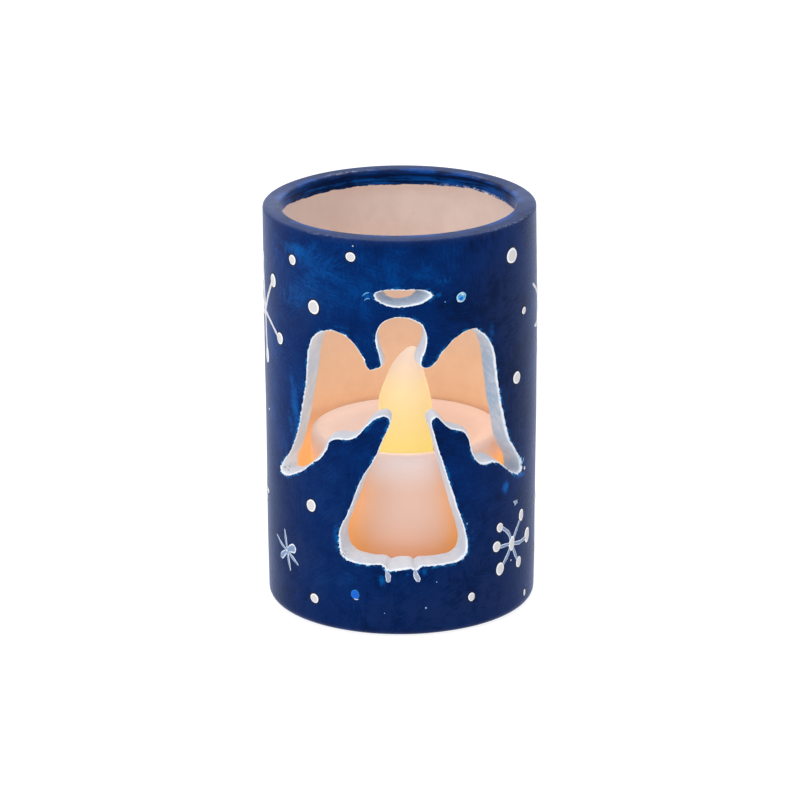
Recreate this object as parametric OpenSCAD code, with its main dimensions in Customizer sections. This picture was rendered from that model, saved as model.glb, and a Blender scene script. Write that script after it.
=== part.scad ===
// Clay candle holder with an angel-and-halo cut-out, and the battery votive light that stands in it.
// Millimetres, +Z up. Origin: centre of the holder's flat base. The angel faces -Y.

/* [Clay holder] */
// Outside diameter at the rim
holder_d = 54; // [50:0.5:60]
// Overall height
holder_h = 81.6; // [78:0.2:90]
// How much narrower the radius is at the foot than at the rim
holder_taper = 0.4; // [0:0.1:0.8]
// Thickness of the rolled clay wall
wall_t = 3.65; // [3:0.05:4.2]
// Thickness of the clay floor
floor_t = 4.5; // [3:0.1:5]
// Radius of the rounded rim
rim_round = 0.6; // [0.4:0.1:1.4]
// Radius of the rounded foot
foot_round = 1.8; // [1:0.1:3]
// Rise of each cut's lower edge from the outer face to the inner face
cut_rise = 1.0; // [0.4:0.1:1.4]

/* [Votive light] */
// Diameter of the votive body
votive_d = 38; // [37:0.5:40]
// Height of the votive body up to its rim, without the flame
votive_h = 30.1; // [29:0.1:34]
// Wall of the moulded candle shell
shell_t = 1.2; // [1:0.1:1.4]
// Sideways offset of the votive from the holder's axis
votive_x = 1.1; // [0:0.1:2.5]
// Rest gap between the votive's foot and the clay floor
votive_gap = 0.1; // [0.05:0.05:0.3]
// Height of the flame tip above the votive's foot
flame_top = 47.1; // [44:0.1:50]
// Radius of the flame at the candle's top
flame_r = 5.3; // [5:0.1:5.4]

/* [Light unit] */
// Coin cell diameter
cell_d = 20; // [19.8:0.1:20]
// Coin cell thickness
cell_h = 3.2; // [2.5:0.1:3.2]
// Radius of the round circuit board
board_r = 12.2; // [12:0.1:12.3]
// Travel of the on-off slide switch
switch_travel = 2; // [1.6:0.1:2.2]
// Number of base screws
base_screw_n = 3; // [3:1:3]

/* [Hidden] */
$fn = 96;
e = 0.01;
holder_r = holder_d / 2;
foot_r = holder_r - holder_taper;

// ---- Cut-out outlines: [distance round the outer wall from the front line, height] ----
// Each opening is a band between an upper and a lower edge.
wing_left_top = [[-29.5, 30.8], [-28.3, 32.4], [-26, 34.7], [-24.3, 37.5], [-22.8, 41], [-21.8, 45],
    [-20.8, 49.5], [-20.2, 53.5], [-19.8, 57], [-18.6, 60.2], [-16.5, 62], [-14, 62.6], [-11.3, 62.1],
    [-9, 60.4], [-7.4, 58], [-6, 55.9], [-4.7, 55.7], [-2, 54]];
wing_left_low = [[-29.5, 30.2], [-28, 29.5], [-25, 30.4], [-21.5, 32.2], [-19, 34.2], [-17, 35.7],
    [-15.4, 37.9], [-14.6, 39.7], [-12.8, 40.5], [-10.3, 40.7], [-8.3, 41.8], [-6.6, 43.8], [-5, 45.3],
    [-2.9, 45.9], [-2, 44]];
wing_right_top = [[2, 54], [4.8, 55.9], [6.3, 56.4], [8, 58.5], [10.5, 61], [13, 62.4], [15, 62.7],
    [17, 61.6], [19, 59.4], [20.2, 56.5], [21, 51.5], [22, 46.5], [23.4, 41.5], [25, 37.4], [27.2, 34.6],
    [29.3, 31]];
wing_right_low = [[2, 44], [6.3, 44.6], [7, 45.5], [8.3, 44.4], [9.8, 43], [11.5, 42.3], [13, 41.7],
    [14, 40], [14.8, 36.8], [16.2, 34.8], [18, 34.2], [20.5, 34], [23, 32.4], [25.5, 30.5], [28, 29.5],
    [29.3, 30]];
gown_top = [[-12.9, 19.5], [-12.6, 21.8], [-11, 25], [-9, 30], [-7.8, 33], [-5.5, 37], [-4, 40.5],
    [-2.6, 43.3], [-2.1, 45], [-2, 48], [6, 48], [6.1, 44.8], [6.4, 42.8], [8, 37.5], [10, 31],
    [11.6, 26], [12.8, 22.5], [13.3, 20], [13.6, 18.6]];
gown_low = [[-12.9, 17.5], [-12.5, 16.5], [-10.5, 15.4], [-7, 15.1], [-3.8, 15.1], [-2.6, 14],
    [0, 14.2], [2.2, 14.4], [3, 14], [4, 14.8], [7.5, 14.8], [11.5, 15.1], [13, 16], [13.6, 17.2]];
head_top = [[-4.9, 62.6], [-4.6, 63.6], [-4, 64.6], [-2.3, 66], [0, 66.5], [2.2, 66], [4.2, 64.8],
    [5, 63.2], [5.2, 62]];
head_low = [[-4.9, 61], [-4.7, 60.2], [-4, 58], [-3.7, 56.4], [-3.6, 47], [-1.8, 44], [3.9, 44], [4, 56.7],
    [4.4, 58], [5.1, 60], [5.2, 60.8]];
halo_top = [[-5.3, 70.9], [-4.6, 71.6], [-3, 71.9], [2, 72], [4.5, 71.8], [5.8, 71.3], [6.5, 70.9]];
halo_low = [[-5.3, 70.2], [-4.8, 69.5], [-3.5, 68.9], [-1.5, 68.4], [1, 68.4], [3.5, 68.8],
    [5.5, 69.5], [6.5, 70.4]];

// Corner cutting: each corner becomes two points a quarter of the way along its sides.
function eased(p) = concat([p[0]],
    [for (i = [0:len(p) - 2]) each [p[i] * 0.75 + p[i + 1] * 0.25, p[i] * 0.25 + p[i + 1] * 0.75]],
    [p[len(p) - 1]]);
function sorted(v) = len(v) < 2 ? v : let (m = v[floor(len(v) / 2)])
    concat(sorted([for (x = v) if (x < m) x]), [m], sorted([for (x = v) if (x > m) x]));
// Drops any value closer than g to the one before it, but keeps the first and the last
function spaced(v, g) = let (n = len(v)) [for (i = [0:n - 1])
    if (i == 0 || i == n - 1 || (v[i] - v[i - 1] > g && v[n - 1] - v[i] > g)) v[i]];

// A band cut through the wall, every edge running straight to the holder's axis
module wall_cut(top, low, rise = cut_rise) {
    t = eased(top);
    b = eased(low);
    s = spaced(sorted(concat([for (p = t) p[0]], [for (p = b) p[0]])), 0.12);
    n = len(s);
    ro = holder_r + 3;
    ri = holder_r - wall_t - 3;
    slope = rise / wall_t;
    pts = [for (x = s) let (a = x / 27 * 180 / PI, zt = lookup(x, t), zb = lookup(x, b),
        zo = zb - 3 * slope, zi = min(zb + (wall_t + 3) * slope, zt - 0.1))
        each [[ro * sin(a), -ro * cos(a), zo], [ro * sin(a), -ro * cos(a), zt],
            [ri * sin(a), -ri * cos(a), zt], [ri * sin(a), -ri * cos(a), zi]]];
    faces = concat([[0, 2, 1], [0, 3, 2]],
        [for (i = [0:n - 2], k = [0:3]) let (a = 4 * i + k, b = 4 * i + (k + 1) % 4)
            each [[a, b, a + 4], [b, b + 4, a + 4]]],
        [[4 * n - 4, 4 * n - 3, 4 * n - 2], [4 * n - 4, 4 * n - 2, 4 * n - 1]]);
    polyhedron(points = pts, faces = faces, convexity = 8);
}

function arc(cx, cy, r, a0, a1, n = 8) = [for (i = [0:n]) let (a = a0 + (a1 - a0) * i / n)
    [cx + r * cos(a), cy + r * sin(a)]];

// ---- Clay holder ----
module holder_body() {
    k = holder_taper / holder_h;
    in_round = min(rim_round, wall_t / 3);
    rotate_extrude() polygon(concat(
        [[0, 0]],
        arc(foot_r - foot_round + k * foot_round, foot_round, foot_round, -90, 0),
        arc(holder_r - rim_round, holder_h - rim_round, rim_round, 0, 90),
        arc(holder_r - wall_t + in_round, holder_h - in_round, in_round, 90, 180),
        arc(foot_r - wall_t - 2, floor_t + 2, 2, 0, -90),
        [[0, floor_t]]));
}
// Shallow toe marks under the gown's hem
module toes() {
    for (p = [[-2.7, 12.8, 0.8], [3, 12.8, -6]])
        rotate([0, 0, p[0] / 27 * 180 / PI]) translate([0, -foot_r - 0.1, p[1]]) rotate([0, p[2], 0])
            translate([-0.5, -1, -1]) cube([1, 1.5, 2.6]);
}
module clay_holder() {
    color([0.04, 0.16, 0.42]) difference() {
        holder_body();
        wall_cut(wing_left_top, wing_left_low);
        wall_cut(wing_right_top, wing_right_low);
        wall_cut(gown_top, gown_low);
        wall_cut(head_top, head_low, 0);
        wall_cut(halo_top, halo_low, 0.5);
        toes();
    }
}

// ---- Votive light: heights below are above the votive's own foot ----
plate_z = 0.6;      // underside of the base plate
plate_t = 2.2;      // its thickness
plate_r = votive_d / 2 - shell_t - 0.1;
bay_x = -4.9;       // axis of the coin cell bay
hub_r = 10.35;      // door hub, passes the cell
ledge_r = 10.5;     // hole in the base plate
door_r = 11.4;
bay_in = 11.6;
bay_out = 12.6;
cell_z = 3.7;       // underside of the coin cell
roof_z = cell_z + cell_h + 1.0;
roof_t = 1.0;
board_z = roof_z + roof_t + 2.5;
board_t = 1.0;
post_y = 8.5;
post_x = -2;
boss_r = 14.6;
sw_x = 9.65;        // slide switch centre
sw_z = board_z - 3.5;
knob_l = 1.9;       // the knob's length along its slot
slot_l = knob_l + switch_travel + 0.5;
deck_z = 26;        // dished top at the flame
led_z = 24.2;       // underside of the lamp's flange

module in_votive() { translate([votive_x, 0, floor_t + votive_gap]) children(); }
module at_bosses() {
    for (i = [0:base_screw_n - 1]) rotate([0, 0, i == 0 ? 0 : (i == 1 ? 90 : -90)])
        translate([boss_r, 0, 0]) children();
}
module tube(ro, ri, h) { difference() { cylinder(r = ro, h = h); translate([0, 0, -1]) cylinder(r = ri, h = h + 2); } }

module candle_shell() {
    r = votive_d / 2;
    h = votive_h;
    color([0.93, 0.84, 0.76]) in_votive() {
        difference() {
            union() {
                rotate_extrude() polygon(concat(
                    [[r - shell_t, 0], [r, 0]],
                    arc(r - 1.6, h - 1.6, 1.6, 0, 90),
                    [[r - 2.3, h - 0.25], [r - 3, h - 0.9], [r - 4.4, h - 2.1], [r - 6.5, h - 3.1],
                        [r - 9.5, h - 3.8], [flame_r + 1.2, deck_z], [flame_r + 0.3, deck_z - 0.3],
                        [flame_r + 0.3, deck_z - 1.2], [8.4, deck_z - 1.2],
                        [r - 9, h - 5.0], [r - 6, h - 4.4], [r - 4, h - 3.4], [r - 2.4, h - 2.2],
                        [r - 1.5, h - 2.4], [r - shell_t, h - 3]]));
                at_bosses() {
                    translate([0, 0, plate_z + plate_t + 0.05]) cylinder(r = 2, h = 12);
                    translate([1, -0.8, plate_z + plate_t + 0.05]) cube([r - shell_t / 2 - boss_r - 1, 1.6, 12]);
                }
            }
            at_bosses() translate([0, 0, 1]) cylinder(r = 0.75, h = 11);
        }
    }
}

// Flame: rings of points whose centres lean towards the tip
flame_rings = [[26, 5.3, 0], [31, 5.35, 0], [34, 5.35, -0.1], [36.2, 5.2, -0.2], [38, 4.8, -0.1],
    [39.4, 4.3, 0], [41.5, 3.6, 0.1], [43.8, 2.7, 0.3], [45.3, 1.9, 0.7], [46.4, 1.2, 1.1], [46.95, 0.6, 1.3]];
module flame_solid() {
    m = 32;
    n = len(flame_rings);
    k = (flame_top - 26) / 21.1;
    pts = concat([for (g = flame_rings, j = [0:m - 1]) let (a = 360 * j / m, rr = g[1] * flame_r / 5.3)
        [g[2] + rr * cos(a), rr * sin(a), 26 + (g[0] - 26) * k]], [[1.35, 0, flame_top], [0, 0, 26]]);
    polyhedron(points = pts, faces = concat(
        [for (i = [0:n - 2], j = [0:m - 1]) let (a = i * m + j, b = i * m + (j + 1) % m)
            each [[a, a + m, b], [b, a + m, b + m]]],
        [for (j = [0:m - 1]) [(n - 1) * m + j, n * m, (n - 1) * m + (j + 1) % m]],
        [for (j = [0:m - 1]) [j, (j + 1) % m, n * m + 1]]), convexity = 4);
}
module flame() {
    color([1, 0.87, 0.55]) in_votive() difference() {
        union() {
            flame_solid();
            translate([0, 0, deck_z - 1.25]) cylinder(r = flame_r + 0.1, h = 1.75);
            translate([0, 0, deck_z - 2.4]) cylinder(r = flame_r + 1.7, h = 1.15);
        }
        translate([0, 0, deck_z - 3]) cylinder(r = 3.5, h = 9.5);
    }
}
module led() {
    color([1, 0.75, 0.35]) in_votive() translate([0, 0, led_z]) {
        cylinder(r = 2.9, h = 1);
        cylinder(r = 2.5, h = 5.1);
        intersection() {
            translate([0, 0, 5.1]) sphere(r = 2.5);
            translate([-3, -3, 5]) cube([6, 6, 3]);
        }
    }
}
module led_leads() {
    color("silver") in_votive() for (x = [-1.27, 1.27]) translate([x, 0, board_z - 0.5])
        cylinder(r = 0.25, h = led_z - board_z + 0.5);
}
module led_spacer() {
    color("white") in_votive() translate([0, 0, board_z + board_t]) tube(3.2, 2.1, led_z - board_z - board_t);
}
module circuit_board() {
    color([0.1, 0.4, 0.2]) in_votive() difference() {
        translate([0, 0, board_z]) cylinder(r = board_r, h = board_t);
        for (x = [-1.27, 1.27]) translate([x, 0, board_z - 1]) cylinder(r = 0.4, h = 3);
        for (y = [-1, 1]) translate([post_x, y * post_y, board_z - 1]) cylinder(r = 1, h = 3);
        for (y = [-2.5, 0, 2.5]) translate([sw_x, y, board_z - 1]) cylinder(r = 0.4, h = 3);
        translate([5.2, -1.7, board_z - 1]) cube([0.6, 3.4, 3]);
        translate([-8.3, -1.2, board_z - 1]) cube([0.6, 2.4, 3]);
    }
}
module flicker_chip() {
    color([0.05, 0.05, 0.05]) in_votive() translate([-5, 4.2, board_z + board_t]) intersection() {
        translate([0, 0, -2.2]) sphere(r = 3.6);
        cylinder(r = 3, h = 3);
    }
}
module current_resistor() {
    color([0.15, 0.15, 0.17]) in_votive() translate([1.5, -5, board_z + board_t]) {
        translate([0.4, -0.8, 0]) cube([2.4, 1.6, 0.6]);
        cube([0.4, 1.6, 0.65], center = false);
        translate([2.8, 0, 0]) cube([0.4, 0.8, 0.65]);
    }
}
module switch_frame() {
    color([0.75, 0.75, 0.77]) in_votive() difference() {
        translate([sw_x - 1.85, -4.3, sw_z]) cube([3.7, 8.6, 3]);
        translate([sw_x - 1.55, -4, sw_z + 0.3]) cube([3.1, 8, 4]);
        translate([sw_x - 1.05, -slot_l / 2, sw_z - 1]) cube([2.1, slot_l, 3]);
    }
}
module switch_base() {
    color([0.55, 0.33, 0.15]) in_votive() difference() {
        union() {
            translate([sw_x - 1.5, -3.95, sw_z + 2.5]) cube([3, 7.9, 0.5]);
            translate([sw_x - 1.85, -4.3, sw_z + 3]) cube([3.7, 8.6, 0.5]);
        }
        for (y = [-2.5, 0, 2.5]) translate([sw_x, y, sw_z]) cylinder(r = 0.35, h = 5);
    }
}
module switch_terminals() {
    color("silver") in_votive() for (y = [-2.5, 0, 2.5]) translate([sw_x, y, sw_z + 2.2])
        cylinder(r = 0.3, h = 1.3 + board_t + 0.8);
}
module switch_wiper() {
    color([0.85, 0.7, 0.35]) in_votive() translate([sw_x, -switch_travel / 2, 0]) {
        translate([-1, -1.7, sw_z + 1.5]) cube([2, 3.4, 0.2]);
        for (y = [-1.3, 1.3]) translate([-0.8, y, sw_z + 1.7]) intersection() {
            rotate([0, 90, 0]) cylinder(r = 0.35, h = 1.6);
            translate([-1, -1, 0]) cube([4, 2, 1]);
        }
    }
}
module switch_knob() {
    color([0.12, 0.12, 0.12]) in_votive() translate([sw_x, -switch_travel / 2, 0]) {
        translate([-1.35, -2, sw_z + 0.4]) cube([2.7, 4, 1.1]);
        translate([-0.9, -knob_l / 2, 0.7]) cube([1.8, knob_l, sw_z]);
    }
}
module coin_cell_can() {
    color([0.8, 0.8, 0.82]) in_votive() translate([bay_x, 0, cell_z]) difference() {
        union() {
            cylinder(r = cell_d / 2 - 0.3, h = cell_h - 0.3);
            translate([0, 0, 0.3]) cylinder(r = cell_d / 2, h = cell_h - 0.6);
        }
        translate([0, 0, 0.25]) cylinder(r = cell_d / 2 - 0.4, h = cell_h);
    }
}
module coin_cell_gasket() {
    color([0.3, 0.3, 0.32]) in_votive() translate([bay_x, 0, cell_z + 0.25])
        tube(cell_d / 2 - 0.4, cell_d / 2 - 1.0, cell_h - 0.6);
}
module coin_cell_cap() {
    color([0.86, 0.86, 0.88]) in_votive() translate([bay_x, 0, cell_z]) difference() {
        union() {
            translate([0, 0, 0.4]) cylinder(r = cell_d / 2 - 1.0, h = cell_h - 0.6);
            translate([0, 0, 0.4]) cylinder(r = cell_d / 2 - 1.6, h = cell_h - 0.4);
        }
        translate([0, 0, 0.3]) cylinder(r = cell_d / 2 - 1.9, h = cell_h - 0.6);
    }
}
module positive_contact() {
    color([0.85, 0.75, 0.5]) in_votive() {
        difference() {
            translate([5.35, -1.5, cell_z + 0.3]) cube([0.3, 3, board_z + board_t + 0.6 - cell_z - 0.3]);
            translate([5, -0.3, cell_z + 2.4]) cube([1, 0.6, 1.6]);
        }
        intersection() {
            translate([5.85, 0, cell_z + 1.5]) sphere(r = 0.72);
            translate([4.9, -1, cell_z]) cube([0.6, 2, 3]);
        }
    }
}
module negative_contact() {
    color([0.85, 0.75, 0.5]) in_votive() {
        translate([bay_x - 4.5, -2, roof_z - 0.3]) cube([9, 4, 0.3]);
        translate([-8.15, -1, roof_z - 0.3]) cube([0.3, 2, board_z + board_t + 0.6 - roof_z + 0.3]);
        for (x = [-1.6, 1.6]) translate([bay_x + x, 0, cell_z + cell_h + 0.02]) cylinder(r = 0.8, h = 0.7);
    }
}
// Base plate with the coin cell bay, its roof and the posts for the circuit board
module base_plate() {
    top = plate_z + plate_t;
    color([0.9, 0.88, 0.84]) in_votive() difference() {
        union() {
            translate([0, 0, plate_z]) cylinder(r = plate_r, h = plate_t);
            translate([bay_x, 0, plate_z]) cylinder(r = bay_out, h = roof_z + roof_t - plate_z);
            for (y = [-1, 1]) translate([post_x, y * post_y, roof_z]) cylinder(r = 1.9, h = board_z - roof_z);
        }
        translate([bay_x, 0, -1]) cylinder(r = ledge_r, h = roof_z + 1);
        translate([bay_x, 0, -1]) cylinder(r = bay_in, h = 1 + 1.7);
        translate([bay_x, 0, top]) cylinder(r = bay_in, h = cell_z + 0.1 - top);
        for (i = [0:2]) translate([bay_x, 0, 0]) rotate([0, 0, 120 * i + 30])
            translate([9, -2.4, 1]) cube([bay_in - 9.15, 4.8, top - 0.5]);
        translate([4.9, -1.7, cell_z]) cube([1.1, 3.4, roof_z]);
        translate([-8.3, -1.2, roof_z - 0.5]) cube([0.6, 2.4, 3]);
        at_bosses() {
            translate([0, 0, -1]) cylinder(r = 1, h = 6);
            translate([0, 0, -1]) cylinder(r = 2, h = 1 + plate_z + 1.3);
        }
        translate([sw_x - 1.05, -slot_l / 2, -1]) cube([2.1, slot_l, 6]);
        translate([sw_x - 1.9, -4, -1]) cube([3.8, 8, 1 + plate_z + 0.9]);
        for (y = [-1, 1]) translate([post_x, y * post_y, roof_z + 0.3]) cylinder(r = 0.75, h = 8);
    }
}
module battery_door() {
    color([0.9, 0.88, 0.84]) in_votive() translate([bay_x, 0, 0]) difference() {
        union() {
            translate([0, 0, 0.7]) cylinder(r = door_r, h = 0.9);
            translate([0, 0, 1.6]) cylinder(r = hub_r, h = 2);
            for (i = [0:2]) rotate([0, 0, 120 * i]) intersection() {
                translate([8, -2, plate_z + plate_t + 0.08]) cube([5, 4, 0.7]);
                translate([0, 0, 2]) cylinder(r = bay_in - 0.3, h = 3);
            }
        }
        // coin slot and the hollow inside the hub
        translate([-5.5, -1, 0]) cube([11, 2, 1.5]);
        translate([0, 0, 2.4]) cylinder(r = 8.6, h = 3);
    }
}
module base_screws() {
    color("silver") in_votive() at_bosses() difference() {
        union() {
            translate([0, 0, plate_z + 0.1]) cylinder(r = 1.7, h = 1.2);
            translate([0, 0, plate_z + 1]) cylinder(r = 0.7, h = 8.4);
        }
        for (a = [0, 90]) rotate([0, 0, a]) translate([-1.1, -0.2, 0]) cube([2.2, 0.4, plate_z + 0.7]);
    }
}
module board_screws() {
    color("silver") in_votive() for (y = [-1, 1]) translate([post_x, y * post_y, 0]) difference() {
        union() {
            translate([0, 0, board_z + board_t]) cylinder(r = 1.5, h = 0.9);
            translate([0, 0, board_z - 2.6]) cylinder(r = 0.7, h = board_t + 3);
        }
        for (a = [0, 90]) rotate([0, 0, a]) translate([-1, -0.2, board_z + board_t + 0.4]) cube([2, 0.4, 1]);
    }
}

clay_holder();
candle_shell();
flame();
led();
led_leads();
led_spacer();
circuit_board();
flicker_chip();
current_resistor();
switch_frame();
switch_base();
switch_terminals();
switch_wiper();
switch_knob();
coin_cell_can();
coin_cell_cap();
coin_cell_gasket();
positive_contact();
negative_contact();
base_plate();
battery_door();
base_screws();
board_screws();
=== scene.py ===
"""Looks for the clay candle holder with an angel cut-out and its battery votive light."""
import math
import bpy
import numpy as np
from mathutils import Matrix, Vector
from mathutils.geometry import delaunay_2d_cdt


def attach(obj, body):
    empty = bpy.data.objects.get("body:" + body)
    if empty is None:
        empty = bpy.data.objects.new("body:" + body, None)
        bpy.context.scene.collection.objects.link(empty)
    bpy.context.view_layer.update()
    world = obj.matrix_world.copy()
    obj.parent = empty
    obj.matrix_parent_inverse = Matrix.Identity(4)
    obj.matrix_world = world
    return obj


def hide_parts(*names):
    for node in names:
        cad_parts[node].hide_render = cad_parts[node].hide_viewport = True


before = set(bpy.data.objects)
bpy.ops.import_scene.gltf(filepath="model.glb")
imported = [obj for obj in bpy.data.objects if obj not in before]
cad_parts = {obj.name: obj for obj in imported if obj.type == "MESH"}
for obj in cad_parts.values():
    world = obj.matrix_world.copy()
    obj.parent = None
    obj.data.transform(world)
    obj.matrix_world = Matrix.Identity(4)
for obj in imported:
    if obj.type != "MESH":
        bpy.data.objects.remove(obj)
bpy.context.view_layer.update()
D = bpy.data
scene = bpy.context.scene
MM = 0.001
R, H, TAPER, WALL, FLOOR = 27.0, 81.6, 0.4, 3.65, 4.5
KD = 180 / math.pi / 27.0

# ------------------------------------------------------------------ camera
EL, DIST, FPX, ROLL = math.radians(18.331), 1128.3, 5661.5, math.radians(-0.2956)
eye = np.array([0, -DIST * math.cos(EL), DIST * math.sin(EL) + H / 2])
fwd = np.array([0, math.cos(EL), -math.sin(EL)])
rt = np.array([1.0, 0, 0]); up = np.cross(rt, fwd)
r2 = math.cos(ROLL) * rt + math.sin(ROLL) * up
u2 = -math.sin(ROLL) * rt + math.cos(ROLL) * up
cam_data = D.cameras.new("cam")
cam = D.objects.new("cam", cam_data)
scene.collection.objects.link(cam)
m = Matrix.Identity(4)
for i in range(3):
    m[i][0], m[i][1], m[i][2], m[i][3] = r2[i], u2[i], -fwd[i], eye[i] * MM
cam.matrix_world = m
cam_data.sensor_width = 36
cam_data.lens = FPX / 800 * 36
cam_data.shift_x = -0.400 / 800
cam_data.shift_y = -1.609 / 800
cam_data.clip_start, cam_data.clip_end = 0.05, 10
cam_data.dof.use_dof = False
scene.camera = cam

# ------------------------------------------------------------------ small helpers
rng = np.random.default_rng(7)


def wob(x, y, seed, n=5, scale=1.0):
    """A smooth deterministic ripple of two coordinates, about -1 to 1. x is an angle in radians, so it closes."""
    r = np.random.default_rng(seed)
    t = np.zeros(np.broadcast(x, y).shape)
    for _ in range(n):
        k = r.integers(1, 6); q = r.uniform(0.3, 1.6) * scale; p = r.uniform(0, 6.28, 2)
        t = t + np.sin(k * x + p[0]) * np.cos(q * y / 10 + p[1]) / n
    return t * 1.6


def new_mesh(name, verts, faces, attrs=None, uv=None, smooth=True):
    """verts in mm. faces is one int array, or a list of int arrays."""
    me = D.meshes.new(name)
    verts = np.asarray(verts, np.float64) * MM
    fl = [f for f in (faces if isinstance(faces, list) else [faces]) if len(f)]
    loops = np.concatenate([np.asarray(f).ravel() for f in fl]).astype(np.int32)
    sizes = np.concatenate([np.full(len(f), np.asarray(f).shape[1]) for f in fl]).astype(np.int32)
    starts = np.concatenate([[0], np.cumsum(sizes)[:-1]]).astype(np.int32)
    me.vertices.add(len(verts)); me.vertices.foreach_set("co", verts.astype(np.float32).ravel())
    me.loops.add(len(loops)); me.loops.foreach_set("vertex_index", loops)
    me.polygons.add(len(sizes)); me.polygons.foreach_set("loop_start", starts)
    me.update(calc_edges=True)
    me.validate()
    for k, v in (attrs or {}).items():
        a = me.attributes.new(k, "FLOAT", "POINT"); a.data.foreach_set("value", np.asarray(v, np.float32))
    me.polygons.foreach_set("use_smooth", np.full(len(me.polygons), smooth))
    me.update()
    ob = D.objects.new(name, me)
    scene.collection.objects.link(ob)
    return ob


def catmull(P, closed=True, step=0.45):
    """A centripetal Catmull-Rom curve through rows of P, at even steps along its first two columns."""
    P = np.asarray(P, float); n = len(P); out = []
    idx = range(n) if closed else range(n - 1)
    for i in idx:
        g = lambda j: P[j % n] if closed else P[min(max(j, 0), n - 1)]
        p0, p1, p2, p3 = g(i - 1), g(i), g(i + 1), g(i + 2)
        d = lambda a, b: max(np.linalg.norm(a[:2] - b[:2]), 1e-4) ** 0.5
        t0 = 0; t1 = t0 + d(p0, p1); t2 = t1 + d(p1, p2); t3 = t2 + d(p2, p3)
        if not closed and i == 0: t1 = 1e-3 + t0; t2 = t1 + d(p1, p2); t3 = t2 + d(p2, p3)
        for t in np.linspace(t1, t2, 16, endpoint=False):
            a1 = (t1 - t) / (t1 - t0) * p0 + (t - t0) / (t1 - t0) * p1
            a2 = (t2 - t) / (t2 - t1) * p1 + (t - t1) / (t2 - t1) * p2
            a3 = (t3 - t) / (t3 - t2) * p2 + (t - t2) / (t3 - t2) * p3 if t3 > t2 else p2
            b1 = (t2 - t) / (t2 - t0) * a1 + (t - t0) / (t2 - t0) * a2
            b2 = (t3 - t) / (t3 - t1) * a2 + (t - t1) / (t3 - t1) * a3
            out.append((t2 - t) / (t2 - t1) * b1 + (t - t1) / (t2 - t1) * b2)
    out = np.array(out)
    if not closed: out = np.vstack([out, P[-1]])
    q = np.vstack([out, out[:1]]) if closed else out
    L = np.concatenate([[0], np.cumsum(np.linalg.norm(np.diff(q[:, :2], axis=0), axis=1))])
    k = max(4, int(round(L[-1] / step)))
    t = np.linspace(0, L[-1], k, endpoint=not closed)
    return np.stack([np.interp(t, L, q[:, c]) for c in range(P.shape[1])], 1)


def inside(poly, pts):
    x, y = pts[:, 0], pts[:, 1]; r = np.zeros(len(pts), bool)
    a = poly; b = np.roll(poly, -1, 0)
    for (x0, y0), (x1, y1) in zip(a, b):
        c = (y0 > y) != (y1 > y)
        if c.any():
            r[c] ^= x[c] < (x1 - x0) * (y[c] - y0) / (y1 - y0) + x0
    return r


def dist_to(poly, pts):
    """Distance from each point to a closed outline, and the outline's nearest point."""
    best = np.full(len(pts), 1e9); near = np.zeros(len(pts), int)
    for s in range(0, len(pts), 4000):
        q = pts[s:s + 4000]
        d = ((q[:, None, :] - poly[None, :, :]) ** 2).sum(-1)
        j = d.argmin(1)
        for dj in (-1, 0):
            a = poly[(j + dj) % len(poly)]; b = poly[(j + dj + 1) % len(poly)]
            ab = b - a; t = np.clip(((q - a) * ab).sum(1) / np.maximum((ab ** 2).sum(1), 1e-9), 0, 1)
            dd = np.linalg.norm(q - a - ab * t[:, None], axis=1)
            best[s:s + 4000] = np.minimum(best[s:s + 4000], dd)
        near[s:s + 4000] = j
    return best, near


def normals_in(poly):
    """Unit normals pointing to the inside of a closed outline, whichever way it turns."""
    t = np.roll(poly, -1, 0) - np.roll(poly, 1, 0)
    n = np.stack([-t[:, 1], t[:, 0]], 1); n /= np.maximum(np.linalg.norm(n, axis=1, keepdims=True), 1e-9)
    a = poly; b = np.roll(poly, -1, 0)
    area = ((a[:, 0] * b[:, 1] - b[:, 0] * a[:, 1]).sum()) / 2
    return n if area > 0 else -n


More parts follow.
